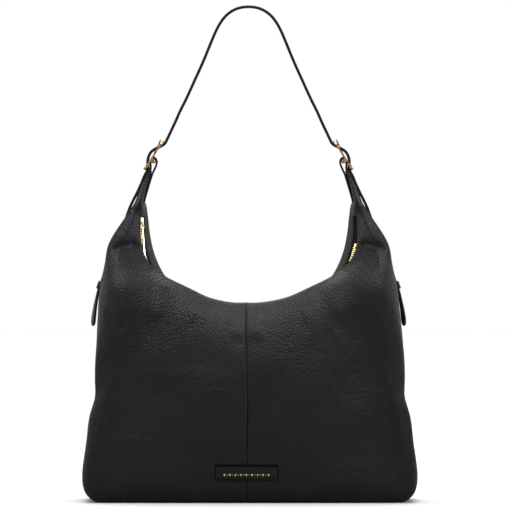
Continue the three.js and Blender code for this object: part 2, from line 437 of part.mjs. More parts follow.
const frontPanel = panel(true), backPanel = panel(false), side = gusset();
add(bag, 'front_panel_left', frontPanel, leather);
add(bag, 'front_panel_right', mirrored(frontPanel), leather);
add(bag, 'back_panel_left', backPanel, leather);
add(bag, 'back_panel_right', mirrored(backPanel), leather);
add(bag, 'side_gusset_left', side, leather);
add(bag, 'side_gusset_right', mirrored(side), leather);
add(bag, 'base_panel', basePanel, leather);
add(bag, 'base_board', baseBoard, board);
add(bag, 'lining', lining(), cloth);
add(bag, 'inner_pocket', innerPocket, cloth);
add(bag, 'zip_tape_front', tapeFront, tape);
add(bag, 'zip_tape_back', tapeBack, tape);
add(bag, 'zip_teeth_front', teethFront, brass);
add(bag, 'zip_teeth_back', teethBack, brass);
add(bag, 'zip_top_stop', topStop, brass);
add(bag, 'zip_bottom_stop', bottomStop, brass);
add(bag, 'strap_tail_left', tailL, strapLeather);
add(bag, 'strap_tail_right', mirrored(tailL), strapLeather);
add(bag, 'strap_keeper_left', keeperL, strapLeather);
add(bag, 'strap_keeper_right', mirrored(keeperL), strapLeather);
add(bag, 'label_patch', label, strapLeather);
add(pull, 'zip_slider', slider, brass);
add(pull, 'zip_pull_link', pullLink, brass);
add(pull, 'zip_pull_bar', pullBar, brass);
add(handle, 'shoulder_strap', strap, strapLeather);
add(handle, 'neck_left', neckL, leather);
add(handle, 'neck_right', mirrored(neckL), leather);
add(handle, 'buckle_tab_left', tabL, strapLeather);
add(handle, 'buckle_tab_right', mirrored(tabL), strapLeather);
add(handle, 'buckle_frame_left', buckleL, brass);
add(handle, 'buckle_frame_right', mirrored(buckleL), brass);
add(handle, 'buckle_prong_left', prongL, brass);
add(handle, 'buckle_prong_right', mirrored(prongL), brass);

const hobo = new THREE.Group(); hobo.name = 'hobo_bag';
hobo.add(bag, pull, handle);
export default hobo;
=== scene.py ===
# A soft pebbled-leather hobo bag. Everything is built in millimetres and scaled to metres at the end.
import math

import bpy
import bmesh
import numpy as np
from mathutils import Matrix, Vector


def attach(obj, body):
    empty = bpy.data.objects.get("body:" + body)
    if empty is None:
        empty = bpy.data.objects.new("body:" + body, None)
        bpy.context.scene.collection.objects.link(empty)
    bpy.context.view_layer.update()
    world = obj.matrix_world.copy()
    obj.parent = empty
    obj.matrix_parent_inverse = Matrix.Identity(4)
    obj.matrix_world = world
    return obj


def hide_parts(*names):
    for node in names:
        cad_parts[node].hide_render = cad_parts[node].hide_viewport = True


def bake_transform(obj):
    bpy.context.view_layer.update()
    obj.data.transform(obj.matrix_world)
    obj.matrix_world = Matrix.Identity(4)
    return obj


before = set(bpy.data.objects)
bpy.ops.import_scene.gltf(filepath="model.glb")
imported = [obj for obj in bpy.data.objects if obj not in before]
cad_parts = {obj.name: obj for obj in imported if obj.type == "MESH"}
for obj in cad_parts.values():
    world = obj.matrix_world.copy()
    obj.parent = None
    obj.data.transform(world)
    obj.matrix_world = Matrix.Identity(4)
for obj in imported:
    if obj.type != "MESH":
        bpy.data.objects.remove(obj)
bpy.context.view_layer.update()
MM = 0.001
rng = np.random.default_rng(7)

# ------------------------------------------------------------------ dimensions, the same as in the CAD
ZC = 322.0
R = 127.5
TILT = math.radians(38)
ST, CT = math.sin(TILT), math.cos(TILT)
STRAP_W, STRAP_T = 20.0, 3.1
TOP_BAR, BOTTOM_BAR, CENTRE_BAR = (-100.3, 416.6), (-119.9, 386.0), (-110.5, 394.9)
SLIDER_TH = -1.6

OUTLINE = [(0, 178), (1.2, 181), (7, 187.8), (12.8, 191.6), (18.6, 193.3), (24.4, 194.2), (36, 194.3), (47.6, 192.9),
           (70.8, 189.5), (94, 186.9), (105.6, 184.6), (111.4, 182.5), (117.2, 180.6), (123, 179.3), (128.8, 179.1), (140.4, 179.6),
           (163.6, 179.2), (186.8, 177.5), (221, 175), (245, 173), (256.4, 171.2), (268, 168.4), (279.6, 166.2), (291.2, 164.5),
           (297, 163), (302.8, 160.4), (308.6, 157.1), (314.4, 153.4), (320.2, 149.5), (326, 145.5), (331.8, 141.5), (337.6, 138),
           (340, 136.2), (343.4, 133.9), (349, 131.2), (355, 129.0), (360.8, 127.0), (366.6, 124.5), (372, 121.8), (378, 118.8), (381, 117.0)]
SEAM_HALF = [(0, 50), (20, 53.5), (60, 56), (120, 53), (180, 47), (230, 40), (270, 32), (300, 24.5), (320, 18.8), (337, 13.4), (346, 10.6), (356, 9.6), (380, 8.8)]
FOLD = [(0, 0), (25, 0), (60, 3), (110, 9), (130, 10), (180, 7.5), (215, 6), (250, 5.8), (270, 8.5), (297, 13.5), (320, 11), (331, 9.2), (337, 8), (343, 4.4), (352, 1.0), (358, 0.5), (380, 0.3)]
FRONT_R_LEFT = [(-12, 124.9), (-8, 124.7), (-3, 124.7), (0, 124.9), (5, 125.6), (10, 126.0), (14, 126.1), (18, 125.4), (24.7, 121.5), (30.8, 115.3), (37.4, 108.6), (43.8, 103.1), (50.9, 99.2), (59.2, 96.6), (73.3, 92.9), (90, 90.5)]
FRONT_R_RIGHT = [(-12, 124.9), (-8, 124.9), (-3, 125.3), (0, 125.8), (5, 126.7), (10, 127.4), (14, 127.4), (18, 126.2), (24.7, 121.5)] + FRONT_R_LEFT[9:]
FRONT_Y = [(-8, 10.2), (3, 10.4), (10, 11.2), (18, 13.8), (25, 17), (31, 20.5), (45, 29), (60, 34), (90, 37)]
BACK_R = [(-8, 118.8), (0, 116), (10, 115), (31, 115), (37, 112), (44, 107.5), (59, 101), (73, 97), (90, 95)]
BACK_Y = [(-8, 10.5), (0, 13), (10, 15.5), (31, 21), (45, 26), (60, 29), (90, 31)]
OVER = [(-26, 0.8), (-14, 1.2), (-8, 2.5), (0, 3.5), (15, 6), (30, 9), (45, 12), (90, 12)]
BULGE = [(-26, 0), (-8, 0), (0, 1), (15, 3), (30, 5), (60, 7), (90, 7)]
NECK_IN = [(-28.6, 127.6), (-26.3, 126.7), (-20.9, 125.2), (-15.3, 124.6), (-13, 123.5), (-10.5, 121.2), (-8, 119), (-4.4, 117.2), (0, 116)]
MEET_R = [(-28.6, 127.9), (-26.3, 127.0), (-20.9, 125.6), (-15.3, 124.9), (-13, 124.0), (-10.5, 123.6), (-8, 124.2), (-5.2, 125.0), (-4, 125.4)]
MEET_Y = [(-28, 0), (-20, -0.5), (-15, -3.5), (-12, -6.0), (-8, -7.0), (-4, -7.0)]


class Pchip:
    """Monotone cubic through a table, straight beyond its ends."""

    def __init__(self, table):
        table = sorted(table)
        self.x = x = np.array([p[0] for p in table], float)
        self.y = y = np.array([p[1] for p in table], float)
        self.h = h = np.diff(x)
        d = np.diff(y) / h
        m = np.zeros(len(x))
        m[0], m[-1] = d[0], d[-1]
        for i in range(1, len(x) - 1):
            if d[i - 1] * d[i] > 0:
                w1, w2 = 2 * h[i] + h[i - 1], h[i] + 2 * h[i - 1]
                m[i] = (w1 + w2) / (w1 / d[i - 1] + w2 / d[i])
        self.m = m

    def __call__(self, v):
        v = np.asarray(v, float)
        i = np.clip(np.searchsorted(self.x, v, "right") - 1, 0, len(self.h) - 1)
        t = (v - self.x[i]) / self.h[i]
        tc = np.clip(t, 0, 1)
        t2, t3 = tc * tc, tc ** 3
        out = (2 * t3 - 3 * t2 + 1) * self.y[i] + (t3 - 2 * t2 + tc) * self.h[i] * self.m[i] + (3 * t2 - 2 * t3) * self.y[i + 1] + (t3 - t2) * self.h[i] * self.m[i + 1]
        out = out + np.where(t < 0, (v - self.x[0]) * self.m[0], 0) + np.where(t > 1, (v - self.x[-1]) * self.m[-1], 0)
        return out


half_width, seam_half, fold_in = Pchip(OUTLINE), Pchip(SEAM_HALF), Pchip(FOLD)
polar_out = Pchip([(math.degrees(math.atan2(ZC - z, a)), math.hypot(a, ZC - z)) for z, a in OUTLINE])
CORNER_TH = math.degrees(math.atan2(ZC, 178))
front_r = {True: Pchip(FRONT_R_LEFT), False: Pchip(FRONT_R_RIGHT)}
front_y_ridge, back_r, back_y_ridge = Pchip(FRONT_Y), Pchip(BACK_R), Pchip(BACK_Y)
over, bulge, neck_in, meet_r, meet_y = Pchip(OVER), Pchip(BULGE), Pchip(NECK_IN), Pchip(MEET_R), Pchip(MEET_Y)


def r_out(th):
    return float(polar_out(th)) if th < CORNER_TH else ZC / math.sin(math.radians(th))


def zip_frame(w, n):
    return R - w * ST - n * CT, w * CT - n * ST


def smooth(a, b, v):
    t = np.clip((np.asarray(v, float) - a) / (b - a), 0, 1)
    return t * t * (3 - 2 * t)


# ------------------------------------------------------------------ materials
def new_mat(name):
    m = bpy.data.materials.new(name)
    m.use_nodes = True
    nt = m.node_tree
    b = nt.nodes["Principled BSDF"]
    return m, nt, b


def node(nt, kind, **values):
    n = nt.nodes.new(kind)
    for k, v in values.items():
        if k in n.inputs.keys() if hasattr(n.inputs, "keys") else False:
            n.inputs[k].default_value = v
        else:
            setattr(n, k, v)
    return n


def ramp(nt, stops):
    n = nt.nodes.new("ShaderNodeValToRGB")
    cr = n.color_ramp
    while len(cr.elements) > 1:
        cr.elements.remove(cr.elements[-1])
    cr.elements[0].position, cr.elements[0].color = stops[0][0], (*[stops[0][1]] * 3, 1) if not hasattr(stops[0][1], "__len__") else (*stops[0][1], 1)
    for p, c in stops[1:]:
        e = cr.elements.new(p)
        e.color = (*[c] * 3, 1) if not hasattr(c, "__len__") else (*c, 1)
    return n


def leather(name, base, rough, cell=0.0026, pebble=0.55, fine=0.25, spec=0.45, sheen=0.0, crease=0.3):
    """Pebbled leather: rounded grains parted by fine creases, finer pores, and slow changes of gloss."""
    m, nt, b = new_mat(name)
    L = nt.links.new
    tc = nt.nodes.new("ShaderNodeTexCoord")
    warp = nt.nodes.new("ShaderNodeTexNoise")
    warp.inputs["Scale"].default_value = 110
    warp.inputs["Detail"].default_value = 3
    warp.inputs["Roughness"].default_value = 0.6
    L(tc.outputs["Object"], warp.inputs["Vector"])
    add = nt.nodes.new("ShaderNodeVectorMath")
    add.operation = "MULTIPLY_ADD"
    add.inputs[1].default_value = (0.0055, 0.0055, 0.0055)
    L(warp.outputs["Color"], add.inputs[0])
    L(tc.outputs["Object"], add.inputs[2])
    vor = nt.nodes.new("ShaderNodeTexVoronoi")
    vor.feature = "DISTANCE_TO_EDGE"
    vor.inputs["Scale"].default_value = 1 / cell
    L(add.outputs[0], vor.inputs["Vector"])
    edge = ramp(nt, [(0.0, 0.0), (0.08, 0.45), (0.2, 0.8), (0.36, 0.96), (0.5, 1.0)])
    L(vor.outputs["Distance"], edge.inputs["Fac"])
    vs = nt.nodes.new("ShaderNodeTexVoronoi")
    vs.feature = "SMOOTH_F1"
    vs.inputs["Scale"].default_value = 1 / cell
    vs.inputs["Smoothness"].default_value = 0.3
    L(add.outputs[0], vs.inputs["Vector"])
    dome = nt.nodes.new("ShaderNodeMapRange")
    dome.inputs["From Min"].default_value = 0.65
    dome.inputs["From Max"].default_value = 0.05
    L(vs.outputs["Distance"], dome.inputs["Value"])
    grain = nt.nodes.new("ShaderNodeMath")
    grain.operation = "MULTIPLY_ADD"
    grain.inputs[1].default_value = 1.1
    L(dome.outputs["Result"], grain.inputs[0])
    L(edge.outputs["Color"], grain.inputs[2])
    # the strength of the grain comes and goes over the hide
    patch = nt.nodes.new("ShaderNodeTexNoise")
    patch.inputs["Scale"].default_value = 14
    patch.inputs["Detail"].default_value = 3
    L(tc.outputs["Object"], patch.inputs["Vector"])
    pr = ramp(nt, [(0.3, 0.45), (0.65, 1.0)])
    L(patch.outputs["Fac"], pr.inputs["Fac"])
    mul = nt.nodes.new("ShaderNodeMath")
    mul.operation = "MULTIPLY"
    L(grain.outputs[0], mul.inputs[0])
    L(pr.outputs["Color"], mul.inputs[1])
    bump = nt.nodes.new("ShaderNodeBump")
    bump.inputs["Strength"].default_value = pebble
    bump.inputs["Distance"].default_value = 0.00035
    L(mul.outputs[0], bump.inputs["Height"])
    n2 = nt.nodes.new("ShaderNodeTexNoise")
    n2.inputs["Scale"].default_value = 1500
    n2.inputs["Detail"].default_value = 3
    L(tc.outputs["Object"], n2.inputs["Vector"])
    bump2 = nt.nodes.new("ShaderNodeBump")
    bump2.inputs["Strength"].default_value = fine
    bump2.inputs["Distance"].default_value = 0.0001
    L(n2.outputs["Fac"], bump2.inputs["Height"])
    L(bump.outputs["Normal"], bump2.inputs["Normal"])
    n3 = nt.nodes.new("ShaderNodeTexNoise")
    n3.inputs["Scale"].default_value = 85
    n3.inputs["Detail"].default_value = 4
    n3.inputs["Roughness"].default_value = 0.6
    L(tc.outputs["Object"], n3.inputs["Vector"])
    bump3 = nt.nodes.new("ShaderNodeBump")
    bump3.inputs["Strength"].default_value = crease
    bump3.inputs["Distance"].default_value = 0.0012
    L(n3.outputs["Fac"], bump3.inputs["Height"])
    L(bump2.outputs["Normal"], bump3.inputs["Normal"])
    L(bump3.outputs["Normal"], b.inputs["Normal"])
    # painted shade: the creases between the grains are darkened to 0.55 of the base colour; they are also a little
    # duller than the polished tops of the grains
    crease_shade_mix = nt.nodes.new("ShaderNodeMix")
    crease_shade_mix.data_type = "RGBA"
    crease_shade_mix.inputs["A"].default_value = (*[c * 0.55 for c in base], 1)
    crease_shade_mix.inputs["B"].default_value = (*base, 1)
    L(edge.outputs["Color"], crease_shade_mix.inputs["Factor"])
    L(crease_shade_mix.outputs["Result"], b.inputs["Base Color"])
    rr = nt.nodes.new("ShaderNodeMapRange")
    rr.inputs["To Min"].default_value = rough + 0.16
    rr.inputs["To Max"].default_value = rough - 0.03
    L(edge.outputs["Color"], rr.inputs["Value"])
    r2 = nt.nodes.new("ShaderNodeMapRange")
    r2.inputs["From Min"].default_value = 0.3
    r2.inputs["From Max"].default_value = 0.7
    r2.inputs["To Min"].default_value = 0.06
    r2.inputs["To Max"].default_value = -0.05
    L(patch.outputs["Fac"], r2.inputs["Value"])
    addr = nt.nodes.new("ShaderNodeMath")
    addr.operation = "ADD"
    L(rr.outputs["Result"], addr.inputs[0])
    L(r2.outputs["Result"], addr.inputs[1])
    L(addr.outputs[0], b.inputs["Roughness"])
    b.inputs["Specular IOR Level"].default_value = spec
    b.inputs["Sheen Weight"].default_value = sheen
    b.inputs["Sheen Roughness"].default_value = 0.5
    return m


def plain(name, base, rough, metal=0.0, bump=0.0, scale=800, spec=0.5, dark=None):
    m, nt, b = new_mat(name)
    L = nt.links.new
    b.inputs["Base Color"].default_value = (*base, 1)
    b.inputs["Roughness"].default_value = rough
    b.inputs["Metallic"].default_value = metal
    b.inputs["Specular IOR Level"].default_value = spec
    tc = nt.nodes.new("ShaderNodeTexCoord")
    n = nt.nodes.new("ShaderNodeTexNoise")
    n.inputs["Scale"].default_value = scale
    n.inputs["Detail"].default_value = 3
    L(tc.outputs["Object"], n.inputs["Vector"])
    if bump:
        bp = nt.nodes.new("ShaderNodeBump")
        bp.inputs["Strength"].default_value = bump
        bp.inputs["Distance"].default_value = 0.0001
        L(n.outputs["Fac"], bp.inputs["Height"])
        L(bp.outputs["Normal"], b.inputs["Normal"])
    if dark:
        n4 = nt.nodes.new("ShaderNodeTexNoise")
        n4.inputs["Scale"].default_value = 260
        n4.inputs["Detail"].default_value = 4
        L(tc.outputs["Object"], n4.inputs["Vector"])
        cr = ramp(nt, [(0.35, dark), (0.62, base)])
        L(n4.outputs["Fac"], cr.inputs["Fac"])
        L(cr.outputs["Color"], b.inputs["Base Color"])
        r = nt.nodes.new("ShaderNodeMapRange")
        r.inputs["To Min"].default_value = rough + 0.2
        r.inputs["To Max"].default_value = rough
        L(n4.outputs["Fac"], r.inputs["Value"])
        L(r.outputs["Result"], b.inputs["Roughness"])
    return m


def woven(name, base, rough=0.9, pitch=0.0009):
    m, nt, b = new_mat(name)
    L = nt.links.new
    tc = nt.nodes.new("ShaderNodeTexCoord")
    hs = []
    for direction in ("X", "Z"):
        w = nt.nodes.new("ShaderNodeTexWave")
        w.wave_type, w.bands_direction, w.wave_profile = "BANDS", direction, "SIN"
        w.inputs["Scale"].default_value = 0.3 / pitch
        L(tc.outputs["Object"], w.inputs["Vector"])
        hs.append(w)
    mx = nt.nodes.new("ShaderNodeMath")
    mx.operation = "MAXIMUM"
    L(hs[0].outputs["Fac"], mx.inputs[0])
    L(hs[1].outputs["Fac"], mx.inputs[1])
    bp = nt.nodes.new("ShaderNodeBump")
    bp.inputs["Strength"].default_value = 0.5
    bp.inputs["Distance"].default_value = 0.0002
    L(mx.outputs[0], bp.inputs["Height"])
    L(bp.outputs["Normal"], b.inputs["Normal"])
    # painted shade: the colour falls to 0.6 of the base in the low gaps between the threads
    cr = ramp(nt, [(0.0, [c * 0.6 for c in base]), (1.0, base)])
    L(mx.outputs[0], cr.inputs["Fac"])
    L(cr.outputs["Color"], b.inputs["Base Color"])
    b.inputs["Roughness"].default_value = rough
    b.inputs["Specular IOR Level"].default_value = 0.3
    return m


M_BODY = leather("bag_leather", (0.003, 0.003, 0.0031), 0.4, cell=0.0029, pebble=0.56, fine=0.2, spec=0.138)
M_STRAP = leather("strap_leather", (0.0035, 0.0035, 0.0037), 0.45, cell=0.0014, pebble=0.2, fine=0.12, spec=0.12, crease=0.15)
M_PATCH = leather("patch_leather", (0.003, 0.003, 0.0031), 0.46, cell=0.0011, pebble=0.2, fine=0.2, spec=0.13)
M_EDGE = plain("edge_paint", (0.0035, 0.0035, 0.0037), 0.45, bump=0.1, scale=300, spec=0.15)
M_PAINT = plain("matt_edge_paint", (0.002, 0.002, 0.0022), 0.75, bump=0.1, scale=300, spec=0.05)
M_TAB = leather("tab_leather", (0.0035, 0.0035, 0.0037), 0.45, cell=0.0015, pebble=0.2, fine=0.12, spec=0.14, crease=0.15)
# painted shade: a near-black, almost unreflective colour put on the backing behind the centre-seam gap and on the
# label's top band and side edges
M_SHADE_BLACK = plain("near_black_painted_shade", (0.0006, 0.0006, 0.0008), 0.85, bump=0.1, scale=300, spec=0.02)
M_THREAD = plain("thread", (0.004, 0.004, 0.0042), 0.65, bump=0.4, scale=2500, spec=0.12)
M_TAPE = woven("zip_tape", (0.004, 0.004, 0.0045))
M_ZIP = plain("zip_metal", (0.66, 0.49, 0.24), 0.24, metal=1.0, bump=0.03, scale=500)
M_PULL = plain("pull_metal", (0.95, 0.77, 0.44), 0.2, metal=1.0, bump=0.02, scale=400)
M_BUCKLE = plain("buckle_metal", (0.42, 0.285, 0.14), 0.22, metal=1.0, bump=0.04, scale=500, dark=(0.16, 0.1, 0.05))
M_FOIL = plain("foil", (0.75, 0.55, 0.28), 0.4, metal=1.0)
M_CLOTH = woven("lining_cloth", (0.12, 0.095, 0.07), 0.9, 0.0012)
M_BOARD = plain("board", (0.2, 0.16, 0.11), 0.8, bump=0.3, scale=400)


# ------------------------------------------------------------------ mesh helpers
def make(name, verts, faces, mats, smooth_all=True, sharp=50, mat_of=None):
    me = bpy.data.meshes.new(name)
    me.from_pydata([tuple(map(float, v)) for v in np.asarray(verts) * MM], [], [tuple(int(i) for i in f) for f in faces])
    if not isinstance(mats, (list, tuple)):
        mats = [mats]
    for m in mats:
        me.materials.append(m)
    if mat_of is not None:
        me.polygons.foreach_set("material_index", np.asarray(mat_of, np.int32))
    bm = bmesh.new()
    bm.from_mesh(me)
    bmesh.ops.recalc_face_normals(bm, faces=bm.faces)
    if smooth_all:
        lim = math.radians(sharp)
        for f in bm.faces:
            f.smooth = True
        for e in bm.edges:
            if len(e.link_faces) == 2 and e.calc_face_angle(0) > lim:
                e.smooth = False
    bm.to_mesh(me)
    bm.free()
    me.update()
    o = bpy.data.objects.new(name, me)
    bpy.context.scene.collection.objects.link(o)
    return o


def grid_normals(g):
    du = np.gradient(g, axis=0)
    dv = np.gradient(g, axis=1)
    n = np.cross(du, dv)
    return n / np.maximum(np.linalg.norm(n, axis=2, keepdims=True), 1e-9)


def wall(outer, inner):
    """A closed curved wall from an outer and an inner grid."""
    nu, nv = outer.shape[:2]
    verts = np.concatenate([outer.reshape(-1, 3), inner.reshape(-1, 3)])
    idx = np.arange(nu * nv).reshape(nu, nv)
    o2 = nu * nv
    faces = []
    a, b, c, d = idx[:-1, :-1], idx[1:, :-1], idx[1:, 1:], idx[:-1, 1:]
    faces += np.stack([a, b, c, d], -1).reshape(-1, 4).tolist()
    faces += (np.stack([a, d, c, b], -1).reshape(-1, 4) + o2).tolist()
    for i in range(nu - 1):
        faces.append([idx[i, 0], idx[i, 0] + o2, idx[i + 1, 0] + o2, idx[i + 1, 0]])
        faces.append([idx[i, -1], idx[i + 1, -1], idx[i + 1, -1] + o2, idx[i, -1] + o2])
    for j in range(nv - 1):
        faces.append([idx[0, j], idx[0, j + 1], idx[0, j + 1] + o2, idx[0, j] + o2])
        faces.append([idx[-1, j], idx[-1, j] + o2, idx[-1, j + 1] + o2, idx[-1, j + 1]])
    return verts, faces


def sweep(rings, closed=False, caps=True):
    """Closed sections (n, m, 3) joined one after another."""
    rings = np.asarray(rings, float)
    n, m = rings.shape[:2]
    verts = rings.reshape(-1, 3)
    faces = []
    for i in range(n if closed else n - 1):
        k = (i + 1) % n
        for j in range(m):
            l = (j + 1) % m
            faces.append([i * m + j, i * m + l, k * m + l, k * m + j])
    if caps and not closed:
        verts = np.concatenate([verts, rings[0].mean(0)[None], rings[-1].mean(0)[None]])
        c0, c1 = n * m, n * m + 1
        for j in range(m):
            l = (j + 1) % m
            faces.append([c0, l, j])
            faces.append([c1, (n - 1) * m + j, (n - 1) * m + l])
    return verts, faces


def merge(parts):
    verts, faces, base = [], [], 0
    for v, f in parts:
        verts.append(np.asarray(v, float))
        faces += [[i + base for i in q] for q in f]
        base += len(v)
    return np.concatenate(verts), faces


def catmull(points, n, closed=False):
    """Evenly spaced points on a centripetal Catmull-Rom curve."""
    p = np.asarray(points, float)
    if closed:
        p = np.concatenate([p[-1:], p, p[:2]])
    else:
        p = np.concatenate([2 * p[:1] - p[1:2], p, 2 * p[-1:] - p[-2:-1]])
    out = []
    for i in range(1, len(p) - 2):
        p0, p1, p2, p3 = p[i - 1:i + 3]
        t0 = 0.0
        t1 = t0 + np.linalg.norm(p1 - p0) ** 0.5
        t2 = t1 + np.linalg.norm(p2 - p1) ** 0.5
        t3 = t2 + np.linalg.norm(p3 - p2) ** 0.5
        for t in np.linspace(t1, t2, 24, endpoint=False):
            a1 = (t1 - t) / (t1 - t0) * p0 + (t - t0) / (t1 - t0) * p1
            a2 = (t2 - t) / (t2 - t1) * p1 + (t - t1) / (t2 - t1) * p2
            a3 = (t3 - t) / (t3 - t2) * p2 + (t - t2) / (t3 - t2) * p3
            b1 = (t2 - t) / (t2 - t0) * a1 + (t - t0) / (t2 - t0) * a2
            b2 = (t3 - t) / (t3 - t1) * a2 + (t - t1) / (t3 - t1) * a3
            out.append((t2 - t) / (t2 - t1) * b1 + (t - t1) / (t2 - t1) * b2)
    out.append(p[-2] if not closed else out[0])
    out = np.array(out)
    s = np.concatenate([[0], np.cumsum(np.linalg.norm(np.diff(out, axis=0), axis=1))])
    want = np.linspace(0, s[-1], n + (1 if closed else 0))
    res = np.stack([np.interp(want, s, out[:, k]) for k in range(out.shape[1])], 1)
    return (res[:-1] if closed else res), s[-1]


def rounded_rect(hw, ht, rad, k=4, crown=0.0):
    """Outline of a rounded rectangle, hw by ht half sizes; crown lifts the middle of the faces."""
    pts = []
    for cx, cy, a0 in ((hw - rad, ht - rad, 0), (-hw + rad, ht - rad, 90), (-hw + rad, -ht + rad, 180), (hw - rad, -ht + rad, 270)):
        for i in range(k + 1):
            a = math.radians(a0 + 90 * i / k)
            pts.append((cx + rad * math.cos(a), cy + rad * math.sin(a)))
        # points along the flat side
        if a0 in (0, 180):
            s = 1 if a0 == 0 else -1
            for t in (0.15, 0.35, 0.5, 0.65, 0.85):
                x = s * (hw - rad) * (1 - 2 * t)
                pts.append((x, s * (ht + crown * (1 - (x / hw) ** 2))))
    return np.array(pts)


STITCH_RING = 6


def stitch_parts(points, normals, sides, pitch=3.3, length=2.35, rad=0.27, lift=0.12, start=0.6):
    """Thread stitches lying along a polyline on a surface."""
    p = np.asarray(points, float)
    s = np.concatenate([[0], np.cumsum(np.linalg.norm(np.diff(p, axis=0), axis=1))])
    parts = []
    at = start * pitch
    while at + length < s[-1]:
        f = [np.interp(np.linspace(at, at + length, 5), s, p[:, k]) for k in range(3)]
        c = np.stack(f, 1)
        nn = np.stack([np.interp(np.linspace(at, at + length, 5), s, normals[:, k]) for k in range(3)], 1)
        nn /= np.linalg.norm(nn, axis=1, keepdims=True)
        tg = np.gradient(c, axis=0)
        tg /= np.linalg.norm(tg, axis=1, keepdims=True)
        side = np.cross(tg, nn)
        prof = (0.35, 0.9, 1.0, 0.9, 0.35)
        up = (-0.55, 0.1, 0.3, 0.1, -0.55)
        rings = []
        for i in range(5):
            ring = []
            for j in range(STITCH_RING):
                a = 2 * math.pi * j / STITCH_RING
                ring.append(c[i] + nn[i] * (lift + up[i] * rad + rad * prof[i] * math.sin(a)) + side[i] * rad * prof[i] * math.cos(a))
            rings.append(ring)
        parts.append(sweep(rings))
        at += pitch
    return parts


def ride(o, body, nodes=()):
    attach(o, body)
    if nodes:
        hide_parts(*nodes)
    return o


# ------------------------------------------------------------------ leather panels
THETA = np.concatenate([
    np.linspace(-28.4, -14.6, 18), np.linspace(-14, -3, 30), np.linspace(-2.4, 12, 24), np.linspace(12.8, 40, 36),
    np.linspace(40.8, 56.8, 20), np.linspace(57.2, 62.4, 16), np.linspace(63.2, 88.6, 30), [89.3, 89.7, 89.86, 89.95, 89.988]])
SUB = [3, 3, 4, 5, 5, 5, 4, 4, 5, 6, 7, 8, 8, 6, 4, 4, 4, 3, 3]       # samples between the section's key points
KEYS = len(SUB) + 1


def section_keys(th, front, left):
    """Key points (r, y) across a panel at an angle: zip edge, facing, ridge, face, rounded edge, seam."""
    s = -1 if front else 1
    t = th
    if front:
        rB, yB = float(front_r[left](max(t, -12))), s * float(front_y_ridge(max(t, -8)))
    else:
        rB, yB = float(back_r(max(t, -8))), s * float(back_y_ridge(max(t, -8)))
    rD = r_out(t)
    zD = ZC - rD * math.sin(math.radians(t))
    seam = float(seam_half(zD)) if zD >= 0.5 else 50.0
    y_end = s * (seam + float(over(t)))
    L = rD - rB
    bl = float(bulge(t))
    # the belly swells out at the same rate all along the mouth, whatever the width of the panel below it
    belly = float(smooth(24, 50, t))
    lam = 23.0 + 12.0 * float(smooth(40, 84, t))
    rise = 0.70 + 0.13 * float(smooth(52, 88, t))

    def swell_out(d):
        return yB + s * (rise * lam * (1 - math.exp(-d / lam)) + 3.5 * (1 - math.exp(-d / 90)))

    def face(f):
        horn = yB + (y_end - yB) * (1 - (1 - f) ** 2) + s * bl * math.sin(math.pi * f)
        full = swell_out(f * L) + (y_end - swell_out(L)) * f ** 5
        return horn * (1 - belly) + full * belly

    if front:
        k = [zip_frame(s * 7.4, 1.9), zip_frame(s * 8.0, 2.7), zip_frame(s * 9.6, 2.75)]
    else:
        k = [zip_frame(s * 4.4, 1.1), zip_frame(s * 4.9, 2.1), zip_frame(s * 7.4, 2.8)]
    rC, yC = k[2]
    lift = min(2.5, 0.06 * math.hypot(rB - rC, yB - yC))
    for q in (0.3, 0.62, 0.87):
        k.append((rC + q * (rB - rC), yC + q * (yB - yC) - s * lift * math.sin(math.pi * q)))
    k.append((rB, yB))
    corner = min(15.0 + 11.0 * float(smooth(14, 42, th)), 0.42 * L)
    f0 = 1 - corner / L
    for q in (0.045, 0.11, 0.21, 0.36, 0.53, 0.71, 0.88):
        k.append((rB + q * f0 * L, face(q * f0)))
    yF, yS = face(f0), s * (seam + 0.3)
    k.append((rB + f0 * L, yF))
    for a in (0.33, 0.62, 0.85):
        c, e = math.sin(a * math.pi / 2), math.cos(a * math.pi / 2)
        k.append((rD - corner + corner * c, yS + s * 0.9 + (yF - yS - s * 0.9) * e))
    k.append((rD, yS + s * 0.75))
    k.append((rD - 1.1, yS))
    main = np.array(k)
    if th > -2.7:
        return main
    # the neck: the two panels meet on the inside and swell a little in front of the tab's ends
    ri, ro = float(neck_in(th)), r_out(th)
    rM, yM = float(meet_r(th)), float(meet_y(th))
    hd0 = 10.0 + 0.9 * float(smooth(-22, -13, th)) + 1.2 * float(smooth(-14, -6, th))
    hd = hd0 + 2.4 * float(smooth(-25, -17, th)) * (1 - float(smooth(-14, -7, th)))
    swell = 1.3 + 5.0 * float(smooth(-27, -13, th)) - 1.5 * float(smooth(-13, -6, th))
    hs = max(hd0, float(seam_half(ZC - ro * math.sin(math.radians(th)))) + 1.2)
    n = [(rM, yM + s * 0.12), (rM - 0.25, yM + s * 0.8)]
    if front:
        B = (ri + 0.5 + 3.6 * float(smooth(-15.5, -9, th)), s * (hd - 0.5))
    else:
        B = (ri + 0.4, s * (hd - 0.5))
    for q in (0.2, 0.42, 0.66, 0.86):
        n.append((n[1][0] + (B[0] - n[1][0]) * q - 0.3 * math.sin(math.pi * q), n[1][1] + (B[1] - n[1][1]) * q))
    n.append(B)
    for q in (0.05, 0.13, 0.24, 0.38, 0.54, 0.7, 0.84, 0.93, 0.965, 0.985, 0.995):
        e = min(1.0, q / 0.12)
        f = min(1.0, (1 - q) / 0.08)
        yy = (hd - 0.5) * (1 - q) + hs * q
        n.append((B[0] + (ro - B[0]) * q, s * (yy + 0.5 * e * (1 - q) + swell * math.sin(math.pi * q ** 0.8)) - s * (1 - f) ** 2 * 0.8))
    n.append((ro, s * (hs - 1.0)))
    n.append((ro - 0.9, s * (hs - 1.4)))
    n = np.array(n)
    w = float(smooth(-4.2, -12.5, th)) if th < -4.2 else 0.0
    quick = float(smooth(-2.8, -5.6, th))
    ws = np.array([quick] * 4 + [quick * 0.6 + w * 0.4, quick * 0.25 + w * 0.75] + [w] * (len(n) - 6))[:, None]
    return main * (1 - ws) + n * ws


